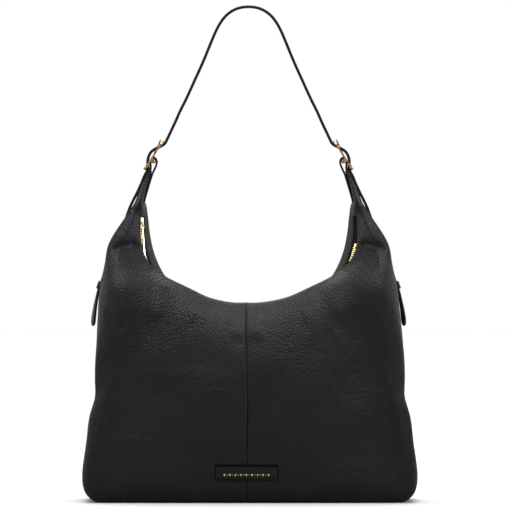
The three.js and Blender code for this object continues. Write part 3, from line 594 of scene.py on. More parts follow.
def eval_section(keys):
    d = np.concatenate([[0], np.cumsum(np.maximum(np.linalg.norm(np.diff(keys, axis=0), axis=1), 1e-3))])
    ts = [0.0]
    for i, c in enumerate(SUB):
        ts += [d[i] + (d[i + 1] - d[i]) * (j + 1) / c for j in range(c)]
    fr = Pchip(list(zip(d, keys[:, 0])))
    fy = Pchip(list(zip(d, keys[:, 1])))
    # a monotone cubic reading through the key points
    return np.stack([fr(ts), fy(ts)], 1)


EDGES = np.cumsum([0] + SUB)
RIDGE_J, SEAM_J = int(EDGES[6]), int(EDGES[18])


def segment_distance(x, z, pts):
    """Distance from points to a polyline and the place along it, 0 to 1."""
    pts = np.asarray(pts, float)
    ls = np.linalg.norm(np.diff(pts, axis=0), axis=1)
    total, run = ls.sum(), 0.0
    best = np.full(x.shape, 1e9)
    place = np.zeros(x.shape)
    signed = np.zeros(x.shape)
    for i in range(len(pts) - 1):
        a, b = pts[i], pts[i + 1]
        ab = b - a
        t = np.clip(((x - a[0]) * ab[0] + (z - a[1]) * ab[1]) / (ab @ ab), 0, 1)
        dx, dz = x - a[0] - t * ab[0], z - a[1] - t * ab[1]
        d = np.hypot(dx, dz)
        m = d < best
        best = np.where(m, d, best)
        place = np.where(m, (run + t * ls[i]) / total, place)
        signed = np.where(m, np.sign(ab[0] * dz - ab[1] * dx), signed)
        run += ls[i]
    return best, place, signed


def waves(x, z, seed, scale, octaves=3):
    """Smooth pseudo-random undulation, about -1 to 1."""
    g = np.random.default_rng(seed)
    out = np.zeros(np.shape(x))
    amp, total = 1.0, 0.0
    for o in range(octaves):
        for _ in range(4):
            a = g.uniform(0, 2 * math.pi)
            k = 2 * math.pi / (scale / 2 ** o) * g.uniform(0.75, 1.3)
            out += amp * np.sin(k * (x * math.cos(a) + z * math.sin(a)) + g.uniform(0, 6.28)) / 4 ** 0.5
        total += amp
        amp *= 0.5
    return out / total


def face_relief(x, z, front, left):
    """How far the leather stands out from its plain shape, in millimetres; x is measured from the centre seam outwards."""
    a = np.abs(x)
    seed = (11 if front else 31) + (0 if left else 5)
    d = 0.75 * waves(x, z, seed, 150, 2) + 0.28 * waves(x, z, seed + 1, 46, 2)
    # the corner collapses: an overhang under the horn, a fold, and a long slope coming back out below it
    dist, p, sg = segment_distance(a, z, [(118, 306), (130, 298), (144, 294), (163, 291)])
    depth = 4.4 * smooth(0, 0.35, p) * (1 - 0.7 * smooth(0.5, 1.0, p))
    above = np.exp(-(dist / 8.0) ** 2)
    below = np.exp(-(dist / 17.0) ** 2)
    d -= depth * np.where(sg > 0, above, below) * (1.0 if front else 0.7)
    dist, p, sg = segment_distance(a, z, [(130, 330), (141, 314), (155, 304)])
    d += 1.3 * smooth(0, 0.3, p) * (1 - 0.8 * smooth(0.5, 1.0, p)) * np.exp(-(dist / 9.0) ** 2)
    dist, p, _ = segment_distance(a, z, [(128, 299), (140, 296), (153, 294.5), (164, 294)])
    d -= 2.0 * np.sin(math.pi * np.clip(0.08 + 0.84 * p, 0, 1)) * np.exp(-(dist / 4.2) ** 2)
    d += 3.4 * smooth(283, 250, z) * smooth(80, 106, a) * (1 - smooth(136, 176, a)) * (1 - 0.6 * smooth(240, 110, z))
    # soft drape lines running down and inwards from the corner
    for (x0, z0, x1, z1, amp, wd) in ((150, 265, 110, 130, 0.3, 14), (158, 258, 142, 110, 0.3, 12), (170, 210, 168, 90, 0.35, 12)):
        dist, p, _ = segment_distance(a, z, [(x0, z0), (x1, z1)])
        d += amp * np.sin(math.pi * np.clip(p, 0, 1)) * np.exp(-(dist / wd) ** 2)
        dist, p, _ = segment_distance(a, z, [(x0 - 16, z0 - 4), (x1 - 15, z1)])
        d -= 0.8 * amp * np.sin(math.pi * np.clip(p, 0, 1)) * np.exp(-(dist / wd) ** 2)
    # pinch at the centre seam, with faint puckers where the thread pulls
    d -= 0.3 * np.exp(-(a / 2.2) ** 2) + 0.5 * np.exp(-(a / 11.0) ** 2)
    d += 0.10 * np.sin(2 * math.pi * z / 9.0 + 1.3 * np.sin(z / 23.0)) * np.exp(-((a - 5) / 5.0) ** 2)
    # two small dents under the mouth
    for ax, az, amp, wx, wz in ((66, 211, 1.9 if left and front else 0.8, 7, 8), (10, 191, 1.5 if front else 0.8, 9, 6), (104, 214, 0.8, 9, 9)):
        d += amp * np.exp(-(((a - ax) / wx) ** 2 + ((z - az - 7) / wz) ** 2)) * 0.5 - amp * np.exp(-(((a - ax) / wx) ** 2 + ((z - az + 7) / wz) ** 2)) * 0.5
    return d


def lean(x, z):
    """The soft bag sits a little to one side of its strap: how far its lower body is shifted."""
    return 1.6 * smooth(250, 170, z) * smooth(4, 60, x) - (1.5 + 1.6 * smooth(90, 225, z)) * (1 - smooth(0, 75, x)) * smooth(300, 250, z)


class Panel:
    def __init__(self, front, left, thick=1.6):
        s = -1 if front else 1
        sx = -1 if left else 1
        rows = np.array([eval_section(section_keys(th, front, left)) for th in THETA])
        th = np.radians(THETA)[:, None]
        r, y = rows[:, :, 0], rows[:, :, 1]
        x, z = r * np.cos(th), ZC - r * np.sin(th)
        # relief fades out towards the ridge, the seam, the base and the neck
        arc = np.concatenate([np.zeros((len(THETA), 1)), np.cumsum(np.hypot(np.diff(r, axis=1), np.diff(y, axis=1)), axis=1)], 1)
        mask = smooth(0, 16, arc - arc[:, RIDGE_J:RIDGE_J + 1]) * smooth(0, 16, arc[:, SEAM_J:SEAM_J + 1] - arc)
        mask = mask * smooth(0, 26, z) * smooth(336, 318, z)
        mask[:, :RIDGE_J] = 0
        y = y + s * mask * face_relief(x if not left else -x, z, front, left)
        self.r, self.y = r, y
        gap = 0.16 + 0.3 * smooth(170, 60, z)
        x = np.where(np.arange(x.shape[0])[:, None] > len(THETA) // 2, np.sqrt(x * x + gap * gap * smooth(8, 2, x)), x)
        g = np.stack([sx * x + lean(x, z), y, z], 2)
        # the halves stop just short of each other and roll inwards into the centre seam
        near = np.abs(x)
        roll = np.exp(-(near / 0.55) ** 2)
        self.grid = g
        n = grid_normals(g)
        flip = 1.0
        mid = n[len(THETA) // 2, int(EDGES[12])]
        if mid[1] * s < 0:
            flip = -1.0
        self.n = n * flip
        g[:, :, 1] -= s * roll * 0.5 * (np.arange(g.shape[1])[None, :] > RIDGE_J) * mask
        inner = g - self.n * thick
        last = g.shape[1] - 1
        ct, stn = np.cos(th[:, 0]), np.sin(th[:, 0])
        w = smooth(-2.8, -5.6, THETA)[:, None]
        rad_in = np.stack([-sx * ct, 0 * ct, stn], 1)
        inner[:, last] = g[:, last] + rad_in * thick
        for j, (wd, nd) in enumerate(((7.4, 0.55), (8.0, 0.55)) if front else ((4.4, 0.55), (4.9, 0.55))):
            rr, yy = zip_frame(s * wd, nd)
            flat = np.stack([sx * rr * ct, yy + 0 * ct, ZC - rr * stn], 1)
            inner[:, j] = flat * (1 - w) + inner[:, j] * w
        self.inner = inner
        self.flipped = flip

    def mesh(self):
        return wall(self.grid, self.inner)


def surface_y(panel, x, z):
    """Depth of a panel's face under points of the front view."""
    x, z = np.abs(np.asarray(x, float)), np.asarray(z, float)
    th = np.degrees(np.arctan2(ZC - z, x))
    r = np.hypot(x, ZC - z)
    i = np.clip(np.searchsorted(THETA, th) - 1, 0, len(THETA) - 2)
    f = np.clip((th - THETA[i]) / (THETA[i + 1] - THETA[i]), 0, 1)
    out = np.zeros(np.shape(x))
    for k in np.ndindex(np.shape(x)):
        a = np.interp(r[k], panel.r[i[k], RIDGE_J:SEAM_J], panel.grid[i[k], RIDGE_J:SEAM_J, 1])
        b = np.interp(r[k], panel.r[i[k] + 1, RIDGE_J:SEAM_J], panel.grid[i[k] + 1, RIDGE_J:SEAM_J, 1])
        out[k] = a * (1 - f[k]) + b * f[k]
    return out


panels = {}
for front in (True, False):
    for left in (True, False):
        p = Panel(front, left)
        name = ("front" if front else "back") + "_leather_" + ("left" if left else "right")
        cad = ("front" if front else "back") + "_panel_" + ("left" if left else "right")
        panels[(front, left)] = p
        v, f = p.mesh()
        o = make(name, v, f, M_BODY, sharp=55)
        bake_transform(o)
        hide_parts(cad)


def seam_backing(front):
    """The turned-in allowance that closes the centre seam from inside; its near-black colour is painted shade seen
    through the seam gap.
    """
    s = -1 if front else 1
    zs = np.concatenate([np.linspace(4, 225, 90)])
    xs = np.array([-5.0, -2.5, 0.0, 2.5, 5.0])
    Z, X = np.meshgrid(zs, xs, indexing="ij")
    col = surface_y(panels[(front, False)], np.full(zs.shape, 6.0), zs)
    Y = np.repeat(col[:, None], 5, 1) - s * 1.75 + 0 * X
    out = np.stack([X + lean(np.abs(X), Z), Y, Z], 2)
    return wall(out, out - np.array([0, s * 1.0, 0]))


for front in (True, False):
    # painted shade: the seam backing takes the near-black shade colour
    o = make("seam_allowance_painted_shade_" + ("front" if front else "back"), *seam_backing(front), M_SHADE_BLACK)
    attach(o, "bag")


# ------------------------------------------------------------------ gussets
def gusset(left, thick=1.6):
    sx = -1 if left else 1
    zs = np.concatenate([np.linspace(0.9, 26, 14), np.linspace(30, 250, 56), np.linspace(253, 379, 54)])
    vs = np.sin(np.linspace(-1, 1, 45) * math.pi / 2 * 0.86) / math.sin(math.pi / 2 * 0.86)
    Z, V = np.meshgrid(zs, vs, indexing="ij")
    b = seam_half(zs)[:, None] - 0.25
    fold = fold_in(zs)[:, None] * (1 - V ** 2) ** 0.8
    Y = V * b
    relief = (0.8 * waves(Y, Z, 71 if left else 77, 80, 2) + 0.3 * waves(Y, Z, 73 if left else 79, 30, 2)) * (1 - V ** 2) * smooth(0, 30, Z) * smooth(330, 300, Z)
    # the middle of the gusset folds to a soft crease as it narrows towards the corner
    crease = 3.2 * np.exp(-(Y / 5.5) ** 2) * smooth(215, 262, Z) * smooth(334, 318, Z)
    edge = (1 - np.abs(V)) * b
    X = half_width(Z) - fold + relief - crease * 0.6 - 1.1 * np.exp(-(edge / 1.3) ** 2)
    g = np.stack([sx * X + lean(X, Z), Y, Z], 2)
    n = grid_normals(g)
    if n[20, 22, 0] * sx < 0:
        n = -n
    inner = g - n * thick
    slope = (half_width(zs + 0.5) - half_width(zs - 0.5))
    q = np.hypot(1, slope)
    # the edge is skived and tucks in under the panel, so no light shows through the seam
    for j, turn in ((0, -1.4), (len(vs) - 1, 1.4)):
        inner[:, j] = g[:, j] + np.stack([-sx * thick / q, turn + 0 * q, thick * slope / q], 1)
    return g, inner


for left in (True, False):
    g, inner = gusset(left)
    v, f = wall(g, inner)
    side = "left" if left else "right"
    o = make("gusset_leather_" + side, v, f, M_BODY, sharp=55)
    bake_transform(o)
    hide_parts("side_gusset_" + side, "neck_" + side)


# ------------------------------------------------------------------ base
def plate(hx, hy, z0, z1, rad, drop=0.0, n=(60, 20)):
    xs = np.linspace(-hx, hx, n[0])
    ys = np.linspace(-hy, hy, n[1])
    X, Y = np.meshgrid(xs, ys, indexing="ij")
    ex, ey = hx - np.abs(X), hy - np.abs(Y)
    lift = rad * (np.exp(-(ex / rad) ** 2) + np.exp(-(ey / rad) ** 2))
    low = np.stack([X, Y, np.full(X.shape, z0) + np.minimum(lift, rad)], 2)
    up = np.stack([X, Y, np.full(X.shape, z1)], 2)
    return wall(up, low)


v, f = plate(177, 49.6, 0.0, 2.0, 1.3)
ride(make("base_leather", v, f, M_BODY), "bag", ["base_panel"])


# ------------------------------------------------------------------ zip
def zip_points(th, w, n):
    """Points in the zip's own frame: th degrees along the arc, w across to the back, n out of the mouth."""
    th, w, n = np.broadcast_arrays(np.asarray(th, float), np.asarray(w, float), np.asarray(n, float))
    r = R - w * ST - n * CT
    y = w * CT - n * ST
    t = np.radians(th)
    return np.stack([-r * np.cos(t), y, ZC - r * np.sin(t)], -1)


def band(a, b, step, outline):
    ths = np.arange(a, b + 1e-6, step)
    o = np.asarray(outline, float)
    return sweep([zip_points(t, o[:, 0], o[:, 1]) for t in ths])


def tape(sign):
    w = [2.0, 2.2, 2.9, 5.0, 8.6, 8.7, 8.6, 5.0, 2.9, 2.2]
    n = [0.0, 0.55, 0.42, 0.33, 0.33, 0.0, -0.33, -0.33, -0.42, -0.55]
    return band(-4.4, 184.0, 1.2, [(sign * a, c) for a, c in zip(w, n)])


for sign, name in ((-1, "front"), (1, "back")):
    v, f = tape(sign)
    ride(make("tape_" + name, v, f, M_TAPE), "bag", ["zip_tape_" + name])

PITCH = math.degrees(2.3 / R)


def tooth(th, sign):
    """One metal tooth clamped on the bead of the tape, its head reaching over the middle."""
    pts, faces = [], []
    # stations across the tape: half length along the arc, low and high faces
    st = [(2.95, 0.36, -1.0, 1.0), (2.7, 0.62, -1.35, 1.42), (1.3, 0.66, -1.42, 1.55), (0.55, 0.55, -1.3, 1.5), (0.0, 0.58, -1.2, 1.42), (-0.6, 0.55, -1.0, 1.25), (-0.85, 0.32, -0.6, 0.8)]
    rings = []
    for w, hl, lo, hi in st:
        e = min(0.22, hl * 0.5)
        hl_t = math.degrees(hl / R)
        e_t = math.degrees(e / R)
        ring = [(-hl_t, lo + e), (-hl_t + e_t, lo), (hl_t - e_t, lo), (hl_t, lo + e), (hl_t, hi - e), (hl_t - e_t, hi), (-hl_t + e_t, hi), (-hl_t, hi - e)]
        rings.append([zip_points(th + dt, sign * w, nn) for dt, nn in ring])
    return sweep(rings)


for sign, name, off in ((-1, "front", 0.0), (1, "back", 0.5)):
    parts = [tooth(t + off * PITCH, sign) for t in np.arange(-3.0, 166.9, PITCH)]
    v, f = merge(parts)
    ride(make("teeth_" + name, v, f, M_ZIP, sharp=45), "bag", ["zip_teeth_" + name])


def stop(a, b, hw):
    prof = [(-hw, -1.2), (-hw + 0.5, -1.5), (hw - 0.5, -1.5), (hw, -1.2), (hw, 1.2), (hw - 0.6, 1.75), (-hw + 0.6, 1.75), (-hw, 1.2)]
    mid = (a + b) / 2
    rings = []
    for t, k in ((a, 0.75), (a + 0.12, 0.96), (mid, 1.0), (b - 0.12, 0.96), (b, 0.75)):
        rings.append([zip_points(t, w * k, n * k) for w, n in prof])
    return sweep(rings)


ride(make("stop_top", *stop(-4.25, -3.45, 2.5), M_ZIP), "bag", ["zip_top_stop"])
ride(make("stop_bottom", *stop(167.6, 169.4, 2.9), M_ZIP), "bag", ["zip_bottom_stop"])

# frame of the slider: t along the arc, w across, n out
_a = math.radians(SLIDER_TH)
S_O = zip_points(SLIDER_TH, 0, 0)
S_T = np.array([math.sin(_a), 0, -math.cos(_a)])
_er = np.array([-math.cos(_a), 0, -math.sin(_a)])
S_W = _er * -ST + np.array([0, 1, 0]) * CT
S_N = _er * -CT + np.array([0, -1, 0]) * ST


def in_slider(p):
    p = np.asarray(p, float)
    return S_O + p[..., :1] * S_T + p[..., 1:2] * S_W + p[..., 2:3] * S_N


def slider_plate():
    """Top plate with turned-down flanges, rounded and a little narrower at its tail."""
    rings = []
    for t, hw, hh in ((-3.3, 2.8, 2.45), (-3.2, 3.1, 2.9), (-2.7, 3.3, 3.1), (-1.5, 3.35, 3.2), (0.3, 3.3, 3.2), (1.3, 3.2, 3.1), (1.75, 3.0, 2.9), (1.9, 2.6, 2.5)):
        fl = 1.75 if abs(t) < 3 else 1.85
        k = hw / 4.6
        prof = [(-4.6 * k, fl + 0.25), (-4.3 * k, fl), (-3.35 * k, fl), (-3.1 * k, fl + 0.1), (-3.05 * k, 1.9), (-2.7 * k, 1.95), (2.7 * k, 1.95), (3.05 * k, 1.9), (3.1 * k, fl + 0.1), (3.35 * k, fl), (4.3 * k, fl), (4.6 * k, fl + 0.25),
                (4.6 * k, hh - 0.7), (4.2 * k, hh - 0.15), (3.4 * k, hh), (-3.4 * k, hh), (-4.2 * k, hh - 0.15), (-4.6 * k, hh - 0.7)]
        rings.append([zip_points(t, w, max(n, 0.8)) for w, n in prof])
    return sweep(rings)


def bridge():
    path, _ = catmull([(-3.9, 0, 2.7), (-4.0, 0, 4.2), (-3.1, 0, 5.35), (-0.4, 0, 5.6), (2.3, 0, 5.35), (3.15, 0, 4.2), (3.0, 0, 2.7)], 26)
    tg = np.gradient(path, axis=0)
    tg /= np.linalg.norm(tg, axis=1, keepdims=True)
    rings = []
    for p, g in zip(path, tg):
        nn = np.array([-g[2], 0, g[0]])
        ring = []
        for a, c in rounded_rect(0.95, 0.42, 0.3, 3):
            ring.append(p + np.array([0, 1, 0]) * a + nn * c)
        rings.append(in_slider(np.array(ring)))
    return sweep(rings)


ride(make("slider_body", *merge([slider_plate(), bridge()]), M_PULL), "slider", ["zip_slider"])

PULL_TILT, BAR_TILT = math.radians(7), math.radians(1)
LINK_L = 8.4


def in_link(p):
    p = np.asarray(p, float)
    x, y, z = p[..., 0], p[..., 1], p[..., 2]
    c, s = math.cos(PULL_TILT), math.sin(PULL_TILT)
    return in_slider(np.stack([0.9 + c * x - s * z, y, 4.25 + s * x + c * z], -1))


def link():
    h, c = 2.6, 0.8
    L = LINK_L
    pts = [(c, -h), (L - c, -h), (L - 0.23, -h + 0.23), (L, -h + c), (L, h - c), (L - 0.23, h - 0.23), (L - c, h), (c, h), (0.23, h - 0.23), (0, h - c), (0, -h + c), (0.23, -h + 0.23)]
    path, _ = catmull([(x, y, 0) for x, y in pts], 72, closed=True)
    tg = np.roll(path, -1, 0) - np.roll(path, 1, 0)
    tg /= np.linalg.norm(tg, axis=1, keepdims=True)
    rings = []
    for p, g in zip(path, tg):
        out = np.cross(g, (0, 0, 1))
        rings.append(in_link(np.array([p + 0.56 * (math.cos(a) * out + math.sin(a) * np.array([0, 0, 1])) for a in np.linspace(0, 2 * math.pi, 12, endpoint=False)])))
    return sweep(rings, closed=True)


ride(make("pull_link_ring", *link(), M_PULL), "pull_link", ["zip_pull_link"])


def in_bar(p):
    p = np.asarray(p, float)
    x, y, z = p[..., 0], p[..., 1], p[..., 2]
    c, s = math.cos(BAR_TILT), math.sin(BAR_TILT)
    return in_link(np.stack([LINK_L + c * x - s * z, y, s * x + c * z], -1))


def bar():
    parts = []
    # the eye: a short collar round the link's wire
    ring = []
    prof = [(1.35, 1.5), (1.62, 1.35), (1.75, 1.0), (1.75, -1.0), (1.62, -1.35), (1.35, -1.5), (1.05, -1.4), (0.93, -1.1), (0.93, 1.1), (1.05, 1.4)]
    for a in np.linspace(0, 2 * math.pi, 28, endpoint=False):
        ring.append(in_bar(np.array([(r * math.cos(a), w, r * math.sin(a)) for r, w in prof])))
    parts.append(sweep(ring, closed=True))
    # the bar: flat, with softened edges and a faint taper at both ends
    rings = []
    for x, hw, ht in ((1.25, 1.15, 0.8), (2.2, 1.45, 0.95), (4, 1.5, 0.98), (12, 1.5, 0.98), (22, 1.5, 0.98), (32.5, 1.5, 0.98), (33.8, 1.42, 0.9), (34.4, 1.2, 0.7), (34.62, 0.8, 0.4)):
        rings.append(in_bar(np.array([(x, a, c) for a, c in rounded_rect(hw * 0.92, ht * 0.85, min(0.42, ht * 0.6), 3)])))
    parts.append(sweep(rings))
    return merge(parts)


ride(make("pull_bar_body", *bar(), M_PULL), "pull_bar", ["zip_pull_bar"])

# ------------------------------------------------------------------ strap
ARCH = [(0, 573.7), (9, 572.8), (16.7, 570.1), (22.9, 566.2), (27.6, 561.8), (31.4, 556.9), (34.6, 551.8), (38.6, 543.8), (43.4, 532.6), (48, 521.2), (52.6, 510.2), (57.8, 498.5), (63.1, 487), (68.3, 475.5), (73.7, 463.9), (79.5, 452.4), (84.6, 440.9), (89.9, 429.6), (93.2, 422.6), (95.0, 418.9), (97.2, 414.9)]
WEAVE = [(101.8, 411.8), (107.2, 409.2), (112.2, 406.1), (115.2, 401.8), (116.7, 397.6), (117.2, 393), (117.0, 389), (116.5, 385.4)]
DROP = [(118.2, 382), (120.9, 377.2), (124.8, 367.7), (129.1, 358.4), (133.8, 349.2), (138.0, 340)]
TAIL = [(141, 331.8), (145.5, 318), (153.8, 297.6), (161, 279.8), (168.7, 260.2), (172.2, 250.2), (174.6, 243), (177, 231.5), (179.2, 218), (180.8, 203)]
half = ARCH + WEAVE + DROP + TAIL
STRAP, STRAP_LEN = catmull([(-x, z) for x, z in reversed(half[1:])] + half, 420)
STRAP_S = np.linspace(0, STRAP_LEN, len(STRAP))


def strap_frame():
    p = STRAP
    tg = np.gradient(p, axis=0)
    tg /= np.linalg.norm(tg, axis=1, keepdims=True)
    P = np.stack([p[:, 0], 0 * p[:, 0], p[:, 1]], 1)
    T = np.stack([tg[:, 0], 0 * tg[:, 0], tg[:, 1]], 1)
    N = np.stack([-tg[:, 1], 0 * tg[:, 0], tg[:, 0]], 1)     # towards the outside of the loop
    W = np.tile([0.0, 1.0, 0.0], (len(p), 1))
    # each free end turns a little about its own length
    end = np.minimum(STRAP_S, STRAP_LEN - STRAP_S)
    side = np.where(STRAP_S < STRAP_LEN / 2, 1.0, -1.0)
    tw = np.radians(10) * (1 - smooth(0, 46, end)) * side
    c, s = np.cos(tw)[:, None], np.sin(tw)[:, None]
    return P, T, N * c - W * s, W * c + N * s, end


SP, STG, SN, SW, SEND = strap_frame()


def strap_mesh():
    rings, prof = [], rounded_rect(STRAP_W / 2, STRAP_T / 2, 1.05, 4, 0.12)
    for i in range(len(SP)):
        d = SEND[i]
        k = math.sqrt(max(0.02, 1 - (1 - min(d, 11.0) / 11.0) ** 2)) if d < 11 else 1.0
        kt = 0.75 + 0.25 * min(1, d / 2.0)
        rings.append([SP[i] + SW[i] * a * k + SN[i] * c * kt for a, c in prof])
    return sweep(rings)


strap = make("strap_leather_band", *strap_mesh(), [M_STRAP, M_EDGE], sharp=60)


def cut_holes(obj, spots, rad, depth=6.0):
    """Round holes punched through a strap, by boolean."""
    tools = []
    for p, n in spots:
        q = Vector(n).to_track_quat("Z", "Y")
        pts = []
        for zz in (-depth / 2, depth / 2):
            for a in np.linspace(0, 2 * math.pi, 20, endpoint=False):
                v = Vector(p) + q @ Vector((rad * math.cos(a), rad * math.sin(a), zz))
                pts.append(tuple(v))
        tools.append((np.array(pts), [list(range(19, -1, -1)), list(range(20, 40))] + [[i, (i + 1) % 20, 20 + (i + 1) % 20, 20 + i] for i in range(20)]))
    v, f = merge(tools)
    t = make("punch", v, f, M_EDGE, smooth_all=False)
    mod = obj.modifiers.new("punch", "BOOLEAN")
    mod.operation, mod.solver, mod.object = "DIFFERENCE", "EXACT", t
    dg = bpy.context.evaluated_depsgraph_get()
    me = bpy.data.meshes.new_from_object(obj.evaluated_get(dg))
    obj.modifiers.clear()
    obj.data = me
    bpy.data.objects.remove(t)


def strap_at(s):
    i = int(np.argmin(np.abs(STRAP_S - s)))
    return SP[i], SN[i]


def place_on_strap(x, z):
    i = int(np.argmin(np.hypot(STRAP[:, 0] - x, STRAP[:, 1] - z)))
    return STRAP_S[i]


spots = []
for sx in (-1, 1):
    s0 = place_on_strap(sx * 107.2, 409.2)
    outward = -1 if sx < 0 else 1                  # the tail lies at the ends of the path
    for k in (-2, -1, 0, 2, 3, 4):
        spots.append(strap_at(s0 + outward * 24.0 * k))
cut_holes(strap, spots, 1.9)
for pl in strap.data.polygons:
    c = pl.center
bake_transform(strap)
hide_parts("shoulder_strap", "strap_tail_left", "strap_tail_right")

parts = []
ok = (SEND > 5)
for w in (-7.9, 7.9):
    for face in (-1, 1):
        pts = SP[ok] + SW[ok] * w + SN[ok] * face * (STRAP_T / 2 + 0.02)
        parts += stitch_parts(pts, SN[ok] * face, None, pitch=3.2, length=2.4, rad=0.2, lift=-0.05)
o = make("strap_stitches", *merge(parts), M_THREAD)
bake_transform(o)

# ------------------------------------------------------------------ tabs round the centre bars
TAB = [(121.3, 346.6), (120.5, 350), (118.9, 356), (116.8, 363), (114.1, 372), (111.9, 379), (109.4, 384.4), (107.5, 388.8), (106.5, 393.4), (107.9, 397.3), (110.9, 398.4), (113.5, 396.1), (113.9, 391.5), (113.6, 386), (114.8, 382.4), (118.3, 377.4), (120.6, 371.6)]
for left in (True, False):
    sx = -1 if left else 1
    side = "left" if left else "right"
    path, _ = catmull([(sx * x, z) for x, z in TAB], 110)
    tg = np.gradient(path, axis=0)
    tg /= np.linalg.norm(tg, axis=1, keepdims=True)
    prof = rounded_rect(9.6, 1.15, 0.8, 4, 0.08)
    rings = []
    for i, (p, g) in enumerate(zip(path, tg)):
        P, N = np.array([p[0], 0, p[1]]), np.array([-g[1], 0, g[0]])
        e = min(i, len(path) - 1 - i)
        k = 1.0 if e > 2 else (0.9, 0.97, 0.99)[e]
        kt = 1.0 if e > 1 else (0.6, 0.95)[e]
        rings.append([P + np.array([0, a * k, 0]) + N * c * kt for a, c in prof])
    o = make("tab_leather_" + side, *sweep(rings), M_TAB, sharp=60)
    # slot for the prong
    cx, cz = CENTRE_BAR
    cx *= -sx * -1 if left else -1
    cx = sx * abs(CENTRE_BAR[0])
    bx = np.array([(x, y, z) for x in (-7.5, 7.5) for y in (-2.2, 2.2) for z in (-1.5, 12)]) + np.array([cx + sx * 0.5, 0, cz])
    t = make("slot_cut", bx, [[0, 1, 3, 2], [4, 6, 7, 5], [0, 4, 5, 1], [2, 3, 7, 6], [0, 2, 6, 4], [1, 5, 7, 3]], M_STRAP, smooth_all=False)
    mod = o.modifiers.new("slot", "BOOLEAN")
    mod.operation, mod.solver, mod.object = "DIFFERENCE", "EXACT", t
    dg = bpy.context.evaluated_depsgraph_get()
    me = bpy.data.meshes.new_from_object(o.evaluated_get(dg))
    o.modifiers.clear()
    o.data = me
    bpy.data.objects.remove(t)
    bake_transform(o)
    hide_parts("buckle_tab_" + side)
    # stitches that hold the two ends to the neck
    parts = []
    P = np.stack([path[:, 0], 0 * path[:, 0], path[:, 1]], 1)
    N = np.stack([-tg[:, 1], 0 * tg[:, 0], tg[:, 0]], 1)
    zz = path[:, 1]
    outside = np.arange(len(path)) > len(path) // 2
    for branch in (outside, ~outside):
        sel = branch & (zz < 377) & (zz > 348)
        if branch is outside:
            continue
        q, n = P[sel], N[sel]
        centre = np.array([sx * 120.0, 0, 362.0])
        if np.dot((q[len(q) // 2] - centre), n[len(n) // 2]) < 0:
            n = -n
        top = int(np.argmax(q[:, 2])) if False else int(np.argmin(np.abs(q[:, 2] - 375.5)))
        row = np.array([q[top] + n[top] * 1.24 + np.array([0, y, 0]) for y in np.linspace(-7.2, 7.2, 12)])
        parts += stitch_parts(row, np.tile(n[top], (12, 1)), None, pitch=3.1, length=2.3, rad=0.22, lift=-0.03, start=0.1)
    o = make("tab_stitches_" + side, *merge(parts), M_THREAD)
    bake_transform(o)


# ------------------------------------------------------------------ buckles
def buckle(sx):
    """A rounded frame, thicker at its two ends than at its sides, with a centre bar on small lobes."""
    (tx, tz), (bx, bz), (cx, cz) = [(sx * abs(x), z) for x, z in (TOP_BAR, BOTTOM_BAR, CENTRE_BAR)]
    u = np.array([tx - bx, 0, tz - bz])
    L = np.linalg.norm(u)
    u /= L
    mid = np.array([(tx + bx) / 2, 0, (tz + bz) / 2])
    nrm = np.array([-u[2], 0, u[0]])               # square to the frame's plane
    hy, hl, rc = 12.2, L / 2, 4.2
    pts = []
    for su, sy, a0 in ((1, 1, 0), (1, -1, 90), (-1, -1, 180), (-1, 1, 270)):
        for k in range(5):
            a = math.radians(a0 + 90 * k / 4)
            # walk: top +y -> top -y -> bottom -y -> bottom +y
            c = {0: (hl - rc, hy - rc), 90: (hl - rc, -(hy - rc)), 180: (-(hl - rc), -(hy - rc)), 270: (-(hl - rc), hy - rc)}[a0]
            d = {0: (math.sin(a), math.cos(a)), 90: (math.sin(a), math.cos(a)), 180: (math.sin(a), math.cos(a)), 270: (math.sin(a), math.cos(a))}[a0]
            pts.append((c[0] + rc * d[0], c[1] + rc * d[1], 0))
    path, _ = catmull(pts, 120, closed=True)
    tg = np.roll(path, -1, 0) - np.roll(path, 1, 0)
    tg /= np.linalg.norm(tg, axis=1, keepdims=True)
    parts, rings = [], []
    for p, g in zip(path, tg):
        end = float(smooth(0.5, 0.95, abs(p[0]) / hl))
        big = 1.0 + (0.22 if p[0] < 0 else 0.0) * end
        ht = (0.95 + 0.75 * end) * big          # across the plane
        hw = (1.25 + 0.35 * end) * big          # in the plane
        out = np.array([g[1], -g[0], 0])
        ring = []
        for a in np.linspace(0, 2 * math.pi, 16, endpoint=False):
            e = 0.8
            ca, sa = math.cos(a), math.sin(a)
            q = p + out * hw * math.copysign(abs(ca) ** e, ca) + np.array([0, 0, 1]) * ht * math.copysign(abs(sa) ** e, sa)
            ring.append(mid + u * q[0] + np.array([0, 1, 0]) * q[1] + nrm * q[2])
        rings.append(ring)
    parts.append(sweep(rings, closed=True))
    # centre bar
    C = np.array([cx, 0, cz])
    rings = []
    for y, r in ((-12.9, 1.0), (-12.7, 1.35), (-12.0, 1.55), (-11.0, 1.6), (0, 1.6), (11.0, 1.6), (12.0, 1.55), (12.7, 1.35), (12.9, 1.0)):
        rings.append([C + np.array([r * math.cos(a), y, r * math.sin(a)]) for a in np.linspace(0, 2 * math.pi, 20, endpoint=False)])
    parts.append(sweep(rings))
    # lobes that carry it from the side rails
    for sy in (-1, 1):
        foot = mid + u * np.dot(C - mid, u)
        rings = []
        for q, hu, hy2 in ((-0.15, 3.3, 0.9), (0.25, 2.9, 1.15), (0.6, 2.3, 1.2), (0.9, 2.15, 1.2), (1.25, 1.95, 1.1), (1.5, 1.3, 0.8)):
            ctr = foot + (C - foot) * q + np.array([0, sy * 12.2, 0])
            d = (C - foot) / np.linalg.norm(C - foot)
            rings.append([ctr + u * hu * math.cos(a) + np.array([0, hy2 * math.sin(a), 0]) for a in np.linspace(0, 2 * math.pi, 16, endpoint=False)])
        parts.append(sweep(rings))
    return merge(parts)


